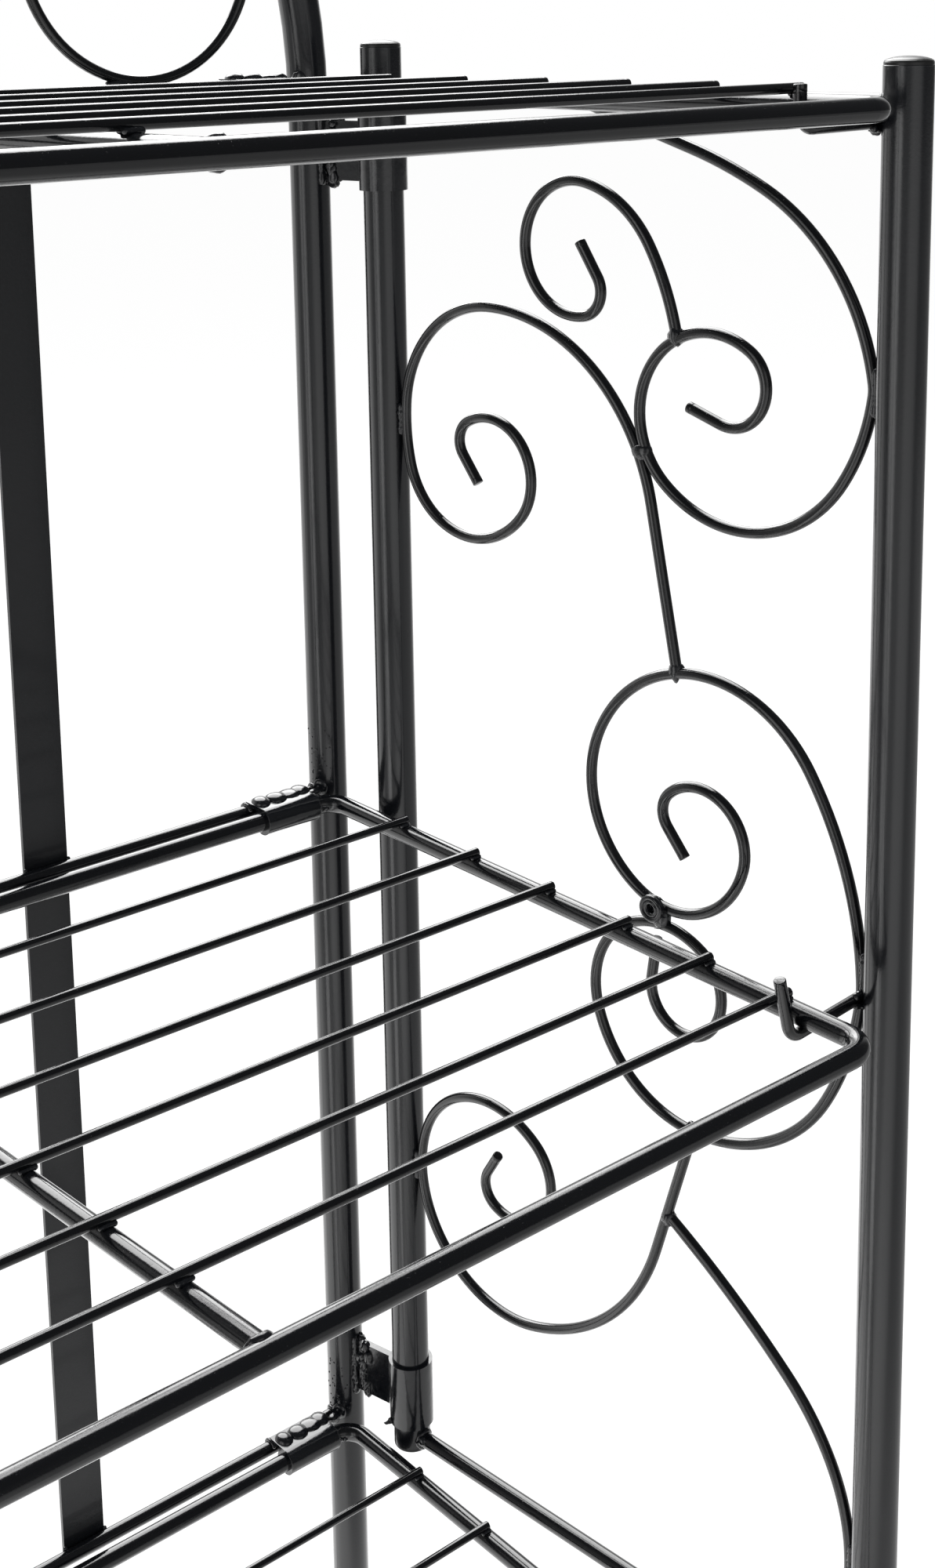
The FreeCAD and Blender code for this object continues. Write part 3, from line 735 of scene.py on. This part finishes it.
def saddle(tube_point: Vector, out: Vector, tube_axis: Vector, tube_radius: float, rod_radius: float,
           steps: int = 40) -> Points:
    """The closed line on which a rod meets a tube's round side.

    Args:
        tube_point: where the two axes meet.
        out: unit vector along the rod.
        tube_axis: unit vector of the tube.
        tube_radius: the tube's radius.
        rod_radius: the line's distance from the rod's axis.
        steps: how many points.

    Returns:
        The points of the closed line.
    """
    across = tube_axis.cross(out).normalized()
    points = []
    for k in range(steps):
        angle = 2.0 * math.pi * k / steps
        offset = rod_radius * math.cos(angle)
        reach = math.sqrt(tube_radius ** 2 - offset ** 2)
        points.append(tube_point + across * offset + tube_axis * rod_radius * math.sin(angle) + out * reach)
    return points


# ---------------- the rack's parts


@dataclass
class Assembly:
    """One welded assembly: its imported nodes, and what is added to its body."""

    nodes: Nodes
    finishes: FinishRack

    @property
    def body(self) -> str:
        """The body that the assembly's pieces ride on."""
        return "back_frame"

    @property
    def prefix(self) -> str:
        """What the names of the assembly's own pieces start with."""
        return ""

    def dress(self, finish: Finish, *names: str) -> None:
        """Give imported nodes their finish.

        Args:
            finish: one of the rack's finishes.
            *names: the nodes to dress.
        """
        material = self.finishes.of(finish)
        for name in names:
            for slot in self.nodes[name].material_slots:
                slot.material = material
            LOG.info("dressed %s with %s", name, material.name)

    def add_piece(self, filler: Filler, name: str, finish: CoatedSteel) -> None:
        """Make one piece on the assembly's body, named without the assembly's prefix."""
        filler.piece(self.prefix + name, self.finishes.of(finish), self.body)

    def weld_piece(self, filler: Filler, name: str) -> None:
        """Make one piece of weld metal on the assembly's body."""
        self.add_piece(filler, name, self.finishes.weld)


@dataclass
class BackFrame(Assembly):
    """The arched back frame: uprights, cross rails, straps, arch scrolls and clips."""

    half_width: float = 0.292
    back: float = 0.174
    tube_radius: float = 0.0095
    rail_radius: float = 0.0035
    rail_rise: float = 0.00108
    rail_bead: float = 0.0013
    strap_bead: float = 0.0012
    strap_place: float = 0.134
    strap_half: float = 0.011
    strap_face: float = 0.1775
    clip_place: float = 0.258
    clip_half: float = 0.0155
    clip_sheet: float = 0.002
    clip_outer: float = 0.00645
    clip_bead: float = 0.0012
    clip_rim: float = 0.00028
    shelf_rear: float = 0.161
    clip_blob_half: float = 0.0058
    clip_blobs: tuple[Quad, ...] = (
        (0.0106, 0.1686, 0.0044, 0.0032), (0.0018, 0.1684, 0.0056, 0.0030),
        (-0.0066, 0.1690, 0.0062, 0.0021), (-0.0130, 0.1694, 0.0048, 0.0024))
    gate_tube: Pair = (0.302, 0.130)
    flange_spans: tuple[Pair, ...] = ((0.830, 0.858), (0.1895, 0.2175))
    flange_bead: float = 0.0019
    chunk_shares: tuple[float, ...] = (0.05, 0.18, 0.30, 0.42, 0.55, 0.66, 0.78, 0.92)
    chunk_shift: Pair = (-0.0012, 0.0012)
    chunk_reach: Pair = (0.0006, 0.0095)
    chunk_size: Pair = (0.0022, 0.0036)
    burr_height: float = 0.1868
    ring_centre: Pair = (0.202, 0.93708)
    ring_reach: float = 0.0605
    ring_bead: float = 0.0017
    crown_height: float = 1.1568
    crown_bead: float = 0.0018
    splash_count: int = 38
    splash_reach: Pair = (0.005, 0.034)
    splash_turn: Pair = (-70.0, 20.0)
    splash_size: Pair = (0.00025, 0.0006)

    def build(self) -> None:
        """Dress the nodes and add the welds."""
        self.dress_nodes()
        self.rail_welds()
        self.strap_welds()
        self.arch_welds()
        self.shelf_clip_welds()
        self.gate_clip_welds()

    def dress_nodes(self) -> None:
        """Give the back frame's nodes their finishes."""
        finish = self.finishes
        self.dress(finish.tube, "back_hoop")
        self.dress(finish.rod, *("back_rail_" + level.label for level in Level))
        self.dress(finish.strap, *("back_strap_" + side.label for side in Side))
        self.dress(finish.wire, *("arch_scroll_" + side.label for side in Side))
        self.dress(finish.sheet, *("shelf_clips_" + level.label for level in Level))
        self.dress(finish.sheet, *("gate_clips_" + side.label for side in Side))
        self.dress(finish.plastic, "hoop_feet")

    def rail_welds(self) -> None:
        """Beads round the ends of the cross rails."""
        filler = Filler(11)
        for level in Level:
            for side in Side:
                axis_point = side.at(self.half_width, self.back, level.value + self.rail_rise)
                inward = side.at(-1.0)
                path = saddle(axis_point, inward, UP, self.tube_radius, self.rail_radius + 0.0003)
                filler.bead(path, self.rail_bead, Ending.CLOSED_LOOP)
                out = side.at(-0.87, -0.49)
                heap = axis_point + out * self.tube_radius + UP * 0.0036
                filler.lump(heap, (0.0044, 0.0040, 0.0015), UP, out, rough=0.10)
                heap += inward * 0.0030 - UP * 0.0014
                filler.lump(heap, (0.0038, 0.0026, 0.0016), inward, UP, rough=0.10)
                filler.spatter(self.splashes(filler, axis_point, side), *self.splash_size)
        self.weld_piece(filler, "cross_rail_welds")

    def splashes(self, filler: Filler, joint: Vector, side: Side) -> Spots:
        """Draw places for spatter on an upright, above a cross rail's joint.

        Args:
            filler: the piece that the spatter goes into.
            joint: where the rail's axis meets the upright's.
            side: the upright's side.

        Returns:
            Each drop's place and the direction out of the tube there.
        """
        spots = []
        for _ in range(self.splash_count):
            turn = math.radians(filler.chance.uniform(*self.splash_turn))
            out = side.at(-math.cos(turn), math.sin(turn))
            rise = filler.chance.uniform(*self.splash_reach)
            spots.append((joint + out * self.tube_radius + UP * rise, out))
        return spots

    def strap_welds(self) -> None:
        """Short beads where the straps' edges lie on the cross rails."""
        filler = Filler(12)
        for level in Level:
            height = level.value + self.rail_rise
            for side in Side:
                for edge in BOTH:
                    x = side.value * self.strap_place + edge * self.strap_half
                    bottom = Vector((x, self.strap_face - 0.0002, height - 0.003))
                    filler.straight(bottom, Vector((0.0, -0.0006, 0.006)), 14, self.strap_bead)
        self.weld_piece(filler, "strap_welds")

    def arch_welds(self) -> None:
        """Weld metal between the arch scrolls, the arch and the top cross rail."""
        filler = Filler(13)
        crown = Vector((0.0, self.back, self.crown_height))
        for side in Side:
            across, height = self.ring_centre
            under = side.at(across - 0.012, self.back, height - self.ring_reach)
            for face in BOTH:
                start = under + Vector((-0.007, face * 0.0026, -0.0004))
                filler.straight(start, Vector((0.014, 0.0, 0.0004)), 18, self.ring_bead, 0.16)
            filler.lump(under + UP * 0.0016, (0.0075, 0.0034, 0.0028), RIGHTWARD, UP)
            out = side.at(1.0)
            touch = crown + out * 0.030 - UP * 0.0018
            filler.straight(touch - out * 0.008, out * 0.016, 18, self.crown_bead, 0.14)
        filler.lump(crown, (0.007, 0.0034, 0.0026), RIGHTWARD, UP)
        self.weld_piece(filler, "arch_scroll_welds")

    def shelf_clip_welds(self) -> None:
        """Beads that hold the shelf clips' flaps to the cross rails."""
        filler = Filler(14)
        for level in Level:
            top = level.value + self.rail_rise + self.rail_radius
            for side in Side:
                middle = side.value * self.clip_place
                for end in BOTH:
                    seat = Vector((middle + end * self.clip_half, self.back, top)) - UP * self.rail_radius
                    path = arc(seat, -BACKWARD, UP, self.rail_radius + 0.0004, 40.0, 150.0, 14)
                    filler.bead(path, self.clip_bead, ripple=0.14)
                flap = top + self.clip_sheet
                for offset, y, half, height in self.clip_blobs:
                    place = side.at(self.clip_place - offset, y, flap - 0.0003)
                    filler.lump(place, (half, self.clip_blob_half, height), RIGHTWARD, UP, rough=0.06)
                for end in BOTH:
                    rim = Vector((middle + end * (self.clip_half - 0.0002), self.shelf_rear, level.value))
                    edge = arc(rim, -BACKWARD, UP, self.clip_outer, -120.0, 86.0, 30)
                    filler.sweep(edge, [self.clip_rim] * len(edge), sides=8)
        self.weld_piece(filler, "shelf_clip_welds")

    def gate_clip_welds(self) -> None:
        """Rough weld metal between the gate clips' flanges and the uprights."""
        filler = Filler(15)
        for side in Side:
            post = side.at(self.half_width, self.back)
            hinge = side.at(*self.gate_tube)
            toward = (hinge - post).normalized()
            across = UP.cross(toward)
            for low, high in self.flange_spans:
                for face in BOTH:
                    seat = post + toward * (self.tube_radius - 0.0002) + across * face * 0.0024
                    start = seat + UP * (low - 0.001)
                    filler.straight(start, UP * (high - low + 0.002), 30, self.flange_bead, 0.30)
                    for share in self.chunk_shares:
                        height = low + (high - low) * share + filler.chance.uniform(*self.chunk_shift)
                        reach = filler.chance.uniform(*self.chunk_reach)
                        spot = seat + toward * reach - across * face * 0.0010 + UP * height
                        size = filler.chance.uniform(*self.chunk_size)
                        filler.lump(spot, (size * 1.2, size, 0.0026), UP, across * face, rough=0.4)
            burr = hinge + UP * self.burr_height
            outward = (across * -side.value - toward * 0.6).normalized()
            filler.lump(burr + outward * 0.0128, (0.0024, 0.0010, 0.0009), outward, UP, rough=0.5)
            burr += outward * 0.0118 + UP * 0.0012
            filler.lump(burr, (0.0014, 0.0012, 0.0011), outward, UP, rough=0.5)
        self.weld_piece(filler, "gate_clip_welds")


@dataclass(frozen=True)
class Touch:
    """Where the scrollwork touches an upright tube: how far along, how high, and its beads' sizes."""

    along: float
    rises: tuple[float, ...]
    half: float
    size: float
    steps: int
    ripple: float


@dataclass
class SideGate(Assembly):
    """One side gate: leg, gate tube, rails, scrollwork, hooks and plugs."""

    side: Side
    leg: Pair = (0.328, -0.152)
    gate_tube: Pair = (0.302, 0.130)
    tube_radius: float = 0.0095
    rail_radius: float = 0.004
    wire_radius: float = 0.0025
    top: float = 0.872
    rail_heights: Pair = (0.8712, 0.1783)
    rail_bead: float = 0.0014
    leg_top: float = 0.8855
    tube_top: float = 0.8917
    rim: float = 0.00045
    hook_along: float = 0.012
    hook_bar: float = -0.0076
    hook_bead: float = 0.0016
    hook_tips: tuple[tuple[Level, float, float, float], ...] = (
        (Level.BOTTOM, 0.05611, 0.019, 75.0), (Level.MIDDLE, 0.05611, 0.019, 75.0),
        (Level.TOP, 0.0508, 0.008, 90.0))
    scrolls: tuple[str, ...] = ("crown_scroll", "rear_upper_scroll", "small_curl", "middle_scroll",
                                "rear_lower_scroll", "foot_scroll")
    joints: tuple[Pair, ...] = ((0.1086, -0.0976), (0.1081, -0.2416), (0.0980, -0.4504),
                                (0.1116, -0.4981))
    touches: tuple[Touch, ...] = (
        Touch(0.0104, (-0.1096, -0.3480, -0.6170), 0.008, 0.0016, 20, 0.2),
        Touch(0.2728, (-0.1527, -0.5363), 0.006, 0.0018, 18, 0.22))
    tips: tuple[Triple, ...] = (
        (0.10180, -0.12667, 17.5), (0.22440, -0.17681, -127.8), (0.16137, -0.06218, 56.1),
        (0.10327, -0.32453, -129.8), (0.11859, -0.36647, 98.8), (0.21788, -0.51067, 122.0))
    washer: Pair = (0.1184, -0.351)
    washer_face: float = 0.0045
    washer_rims: tuple[Pair, ...] = ((0.0030, 0.0011), (0.0050, 0.0013))
    crown_blob: Pair = (0.1270, -0.1488)

    @property
    def body(self) -> str:
        """The body that this gate rides on."""
        return "gate_" + self.side.label

    @property
    def prefix(self) -> str:
        """What the names of this gate's own pieces start with."""
        return self.side.label + "_"

    def dress_parts(self, finish: Finish, *parts: str) -> None:
        """Give some of this gate's nodes their finish."""
        self.dress(finish, *("%s_%s" % (self.body, part) for part in parts))

    @property
    def span(self) -> Vector:
        """The level way from the leg to the gate tube."""
        return self.side.at(*self.gate_tube) - self.side.at(*self.leg)

    @property
    def along(self) -> Vector:
        """Unit vector from the leg to the gate tube."""
        return self.span.normalized()

    @property
    def inward(self) -> Vector:
        """Unit vector square to the gate, to the inside of the rack."""
        return UP.cross(self.along) * self.side.value

    def place(self, along: float, rise: float, inward: float = 0.0) -> Vector:
        """A place along the gate from its leg, up from the top shelf and inward from its plane."""
        level = self.side.at(*self.leg) + self.along * along + self.inward * inward
        return level + UP * (self.top + rise)

    def build(self) -> None:
        """Dress the nodes and add the gate's details."""
        self.dress_nodes()
        self.rail_welds()
        self.scroll_welds()
        self.hook_welds()
        self.wire_ends()
        self.rims()

    def dress_nodes(self) -> None:
        """Give the gate's nodes their finishes."""
        finish = self.finishes
        self.dress_parts(finish.tube, "leg", "tube")
        self.dress_parts(finish.rod, "top_rail", "bottom_rail")
        self.dress_parts(finish.wire, *self.scrolls, "shelf_hooks")
        self.dress_parts(finish.sheet, "tie_washer")
        self.dress_parts(finish.plastic, "leg_cap", "tube_cap", "leg_foot", "tube_plug")

    def rail_welds(self) -> None:
        """Beads round both ends of the top and bottom rails."""
        filler = Filler(21)
        length = self.span.length
        for height in self.rail_heights:
            for along, out in ((0.0, self.along), (length, -self.along)):
                centre = self.place(along, height - self.top)
                path = saddle(centre, out, UP, self.tube_radius, self.rail_radius + 0.0002)
                filler.bead(path, self.rail_bead, Ending.CLOSED_LOOP)
            heap = self.place(length - self.tube_radius - 0.0015, height - self.top + 0.0012, 0.0036)
            filler.lump(heap, (0.0030, 0.0026, 0.0018), self.along, self.inward, rough=0.25)
        self.weld_piece(filler, "gate_rail_welds")

    def scroll_welds(self) -> None:
        """Weld metal where the bent wires meet each other, the leg and the gate tube."""
        filler = Filler(22)
        for along, rise in self.joints:
            for face in BOTH:
                spot = self.place(along, rise, face * 0.0009)
                filler.lump(spot, (0.0041, 0.0033, 0.0024), UP, self.inward * face, rough=0.3)
        blob = self.place(*self.crown_blob)
        filler.lump(blob, (0.0052, 0.0042, 0.0036), self.along, self.inward, rough=0.12)
        for touch in self.touches:
            for rise in touch.rises:
                for face in BOTH:
                    start = self.place(touch.along, rise - touch.half, face * touch.size)
                    filler.straight(start, UP * (2.0 * touch.half), touch.steps, touch.size, touch.ripple)
        self.tie_weld(filler)
        self.weld_piece(filler, "scroll_welds")

    def tie_weld(self, filler: Filler) -> None:
        """Add weld metal round the washer, where the middle scroll's two lobes meet.

        Args:
            filler: the piece that it goes into.
        """
        centre = self.place(*self.washer)
        filler.lump(centre - UP * 0.0032, (0.0074, 0.0050, 0.0028), UP, self.inward, rough=0.12)
        skirt = self.place(self.washer[0] - 0.0030, self.washer[1] - 0.0042, 0.0010)
        filler.lump(skirt, (0.0054, 0.0048, 0.0036), UP, self.inward, rough=0.08)
        face = centre + self.inward * self.washer_face
        for radius, size in self.washer_rims:
            ring = arc(face - self.inward * 0.0001, self.along, UP, radius, 0.0, 350.0, 36)
            filler.bead(ring, size, Ending.CLOSED_LOOP, ripple=0.02)

    def hook_welds(self) -> None:
        """Weld metal that holds the shelf hooks to the leg."""
        filler = Filler(23)
        for level in Level:
            rise = level.value - self.top + self.hook_bar
            for lift in BOTH:
                start = self.place(self.hook_along - 0.0014, rise + lift * 0.0022, -0.003)
                filler.straight(start, self.inward * 0.009, 16, self.hook_bead, 0.25)
            drip = self.place(self.hook_along + 0.0005, rise - 0.0026, 0.002)
            filler.lump(drip, (0.0034, 0.0026, 0.0022), self.inward, -UP, rough=0.35)
        self.weld_piece(filler, "hook_welds")

    def wire_ends(self) -> None:
        """Rounded ends on the scrolls and the hooks."""
        filler = Filler(24)
        for along, rise, heading in self.tips:
            filler.wire_end(self.place(along, rise), raised(self.along, heading), self.wire_radius)
        for level, reach, rise, heading in self.hook_tips:
            tip = self.place(self.hook_along, level.value - self.top + rise, reach)
            filler.wire_end(tip, raised(self.inward, heading), self.wire_radius)
        self.add_piece(filler, "wire_ends", self.finishes.wire)

    def rims(self) -> None:
        """Turned rims where the plugs sit on the tubes."""
        filler = Filler(25)
        for place, height in ((self.leg, self.leg_top), (self.gate_tube, self.tube_top)):
            base = self.side.at(*place) + UP * height
            path = arc(base - UP * 0.0002, RIGHTWARD, BACKWARD, self.tube_radius - 0.0004, 0.0, 352.5, 48)
            filler.sweep(path, [self.rim] * len(path), Ending.CLOSED_LOOP, sides=8)
        self.add_piece(filler, "tube_rims", self.finishes.tube)


@dataclass
class WireShelf(Assembly):
    """One shelf: a bent rod frame, a brace and the wires across it."""

    level: Level
    half_width: float = 0.285
    rear: float = 0.161
    depth: float = 0.340
    frame_radius: float = 0.0045
    brace_radius: float = 0.004
    brace_front: float = 0.009
    brace_rear: float = -0.012
    wire_radius: float = 0.002
    wire_half: float = 0.286
    wire_bead: float = 0.0010
    brace_bead: float = 0.0017
    seam_bead: float = 0.0008
    wires: tuple[float, ...] = (0.058, 0.110, 0.161, 0.209, 0.256, 0.298)
    drop_place: Pair = (0.2775, 0.1560)

    @property
    def body(self) -> str:
        """The body that this shelf rides on."""
        return self.level.label + "_shelf"

    @property
    def prefix(self) -> str:
        """What the names of this shelf's own pieces start with."""
        return self.body + "_"

    def brace_at(self, back: float) -> float:
        """The brace's place in X at a distance from the rear rail."""
        return self.brace_rear + (self.brace_front - self.brace_rear) * back / self.depth

    def build(self) -> None:
        """Dress the nodes and add the shelf's welds and wire ends."""
        self.dress(self.finishes.rod, self.prefix + "frame", self.prefix + "brace")
        self.dress(self.finishes.wire, self.prefix + "wires")
        self.wire_welds()
        self.brace_welds()
        self.wire_ends()

    def cross_bead(self, filler: Filler, spot: Vector, reach: float) -> None:
        """Lay a small bead along a wire, on one side of it."""
        filler.straight(spot - RIGHTWARD * reach, RIGHTWARD * (2.0 * reach), 10, self.wire_bead, 0.2)

    def wire_welds(self) -> None:
        """Small beads where the wires cross the side rails and the brace."""
        filler = Filler(31 + int(self.level.value * 1000))
        lift = self.level.value + self.frame_radius
        for distance in self.wires:
            y = self.rear - distance
            for side in Side:
                for face in BOTH:
                    spot = side.at(self.half_width - 0.0012, y + face * 0.0017, lift + 0.0002)
                    self.cross_bead(filler, spot, 0.0018)
            for face in BOTH:
                self.cross_bead(filler, Vector((self.brace_at(distance), y + face * 0.0016, lift)), 0.0026)
        self.weld_piece(filler, "wire_welds")

    def brace_welds(self) -> None:
        """Full beads round the brace's ends, the rod's seam and small drops at the corners."""
        filler = Filler(32 + int(self.level.value * 1000))
        front = Vector((self.brace_front, self.rear - self.depth, self.level.value))
        rear = Vector((self.brace_rear, self.rear, self.level.value))
        run = (rear - front).normalized()
        for point, out in ((front, run), (rear, -run)):
            path = saddle(point, out, RIGHTWARD, self.frame_radius, self.brace_radius - 0.0002)
            filler.bead(path, self.brace_bead, Ending.CLOSED_LOOP, ripple=0.08)
        seam = Vector((0.0, self.rear, self.level.value))
        ring = arc(seam, BACKWARD, UP, self.frame_radius - 0.0004, 0.0, 350.0, 36)
        filler.bead(ring, self.seam_bead, Ending.CLOSED_LOOP, ripple=0.1)
        for side in Side:
            spot = side.at(*self.drop_place, self.level.value - 0.0008)
            filler.lump(spot, (0.0020, 0.0015, 0.0015), RIGHTWARD, -BACKWARD, rough=0.4)
            spot += side.at(-0.0028, 0.0003, 0.0006)
            filler.lump(spot, (0.0012, 0.0011, 0.0012), RIGHTWARD, -BACKWARD, rough=0.4)
        self.weld_piece(filler, "brace_welds")

    def wire_ends(self) -> None:
        """Rounded ends on the shelf's wires."""
        filler = Filler(33)
        height = self.level.value + self.frame_radius + self.wire_radius
        for distance in self.wires:
            for side in Side:
                end = side.at(self.wire_half - 0.0004, self.rear - distance, height)
                filler.wire_end(end, side.at(1.0), self.wire_radius)
        self.add_piece(filler, "wire_ends", self.finishes.wire)


# ---------------- the studio


@dataclass(frozen=True)
class Lamp:
    """One soft lamp: an evenly lit panel."""

    name: str
    place: Triple
    aim: Triple
    size: Pair
    power: float

    def hang(self) -> None:
        """Set the lamp up in the studio."""
        data = bpy.data.lights.new(self.name, "AREA")
        data.shape = "RECTANGLE"
        data.size, data.size_y = self.size
        data.energy = self.power
        lamp = bpy.data.objects.new(self.name, data)
        lamp.location = self.place
        lamp.visible_glossy = False
        lamp.rotation_mode = "QUATERNION"
        direction = Vector(self.aim) - Vector(self.place)
        lamp.rotation_quaternion = direction.to_track_quat("-Z", "Y")
        bpy.context.scene.collection.objects.link(lamp)
        LOG.info("lamp %s", self.name)


@dataclass
class Studio:
    """The floor, the light and the camera."""

    eye: Triple = (-0.298, -0.6411, 0.9076)
    heading: float = 40.084
    dip: float = 10.737
    roll: float = -0.912
    lens: float = 48.05
    sensor_height: float = 36.0
    rise: float = -0.24
    clip: Pair = (0.01, 100.0)
    floor_half: float = 14.0
    floor_rows: int = 12
    floor_level: float = -0.0002
    box_azimuth: float = 70.0
    box_height: float = 46.0
    box_core: float = 24.0
    box_edge: float = 34.0
    box_strength: float = 7.5
    side_fade: Pair = (0.25, 0.7)
    dim: float = 0.08
    soft: float = 0.5
    lamps: tuple[Lamp, ...] = (
        Lamp("overhead", (0.2, 0.1, 3.3), (0.0, 0.0, 0.5), (2.2, 2.2), 42.0),
        Lamp("left_front", (-2.7, -2.4, 1.5), (0.0, 0.0, 0.6), (0.7, 2.4), 26.0),
        Lamp("right_front", (2.6, -2.5, 1.4), (0.0, 0.0, 0.6), (1.3, 2.4), 24.0),
        Lamp("right_back", (3.0, 1.9, 1.6), (0.0, 0.0, 0.6), (1.4, 2.2), 16.0),
    )

    def build(self) -> None:
        """Set up the floor, the surroundings, the lamps and the camera."""
        self.floor()
        self.surroundings()
        for lamp in self.lamps:
            lamp.hang()
        self.camera()
        bpy.context.scene.view_settings.view_transform = "Standard"

    def floor(self) -> None:
        """Lay a wide flat sheet of pale paper just under the feet."""
        half, rows = self.floor_half, self.floor_rows
        points = [(x, -half + 2.0 * half * row / rows, self.floor_level)
                  for row in range(rows + 1) for x in (-half, half)]
        faces = [(k, k + 1, k + 3, k + 2) for k in range(0, 2 * rows, 2)]
        mesh = bpy.data.meshes.new("studio_floor")
        mesh.from_pydata(points, [], faces)
        mesh.materials.append(StudioPaper("studio_paper").material())
        paper = bpy.data.objects.new("studio_floor", mesh)
        bpy.context.scene.collection.objects.link(paper)

    def surroundings(self) -> None:
        """White surroundings; reflections see a soft box high behind the rack and bands at the sides."""
        world = bpy.data.worlds.new("studio")
        bpy.context.scene.world = world
        board = NodeBoard(world, "Generated")
        match = board.match(board.place, bearing(self.box_azimuth, self.box_height))
        soft_box = board.ranged(match, cosine(self.box_edge), cosine(self.box_core),
                                to_high=self.box_strength, smooth=True)
        rise = board.match(board.place, UP)
        sides = board.scaled(side_light(board), board.ranged(rise, *self.side_fade, 1.0, 0.0, smooth=True))
        path = board.add("ShaderNodeLightPath").outputs
        mirrored = board.scaled(board.summed(soft_box, sides, self.dim), path["Is Glossy Ray"])
        direct = board.ranged(board.summed(path["Is Camera Ray"], path["Is Transmission Ray"]), 0.0, 1.0)
        spread = board.ranged(path["Is Diffuse Ray"], 0.0, 1.0, to_high=self.soft)
        strength = board.summed(mirrored, direct, spread)
        glow = board.add("ShaderNodeBackground", Color=(1.0, 1.0, 1.0, 1.0), Strength=strength)
        board.close(glow.outputs[0], "ShaderNodeOutputWorld")

    def camera(self) -> None:
        """Set the camera in front of the rack's left half, looking across to the right gate."""
        data = bpy.data.cameras.new("camera")
        data.sensor_fit = "VERTICAL"
        data.sensor_height = self.sensor_height
        data.lens = self.lens
        data.shift_y = self.rise
        data.clip_start, data.clip_end = self.clip
        eye = bpy.data.objects.new("camera", data)
        eye.location = self.eye
        look = bearing(90.0 - self.heading, -self.dip)
        eye.rotation_mode = "QUATERNION"
        eye.rotation_quaternion = Quaternion(look, -math.radians(self.roll)) @ look.to_track_quat("-Z", "Y")
        bpy.context.scene.collection.objects.link(eye)
        bpy.context.scene.camera = eye


@dataclass
class BakersRack:
    """The whole rack, built from its sub-assemblies in order."""

    nodes: Nodes
    finishes: FinishRack = field(default_factory=FinishRack)

    def build(self) -> None:
        """Build and dress every sub-assembly."""
        BackFrame(self.nodes, self.finishes).build()
        for side in Side:
            SideGate(self.nodes, self.finishes, side).build()
        for level in Level:
            WireShelf(self.nodes, self.finishes, level).build()


def main() -> None:
    """Load the frame, and build the rack and its studio."""
    logging.basicConfig(level=logging.INFO, format="%(name)s: %(message)s")
    noise.seed_set(NOISE_SEED)
    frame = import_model()
    BakersRack(frame["nodes"]).build()
    Studio().build()


if __name__ == "__main__":
    main()
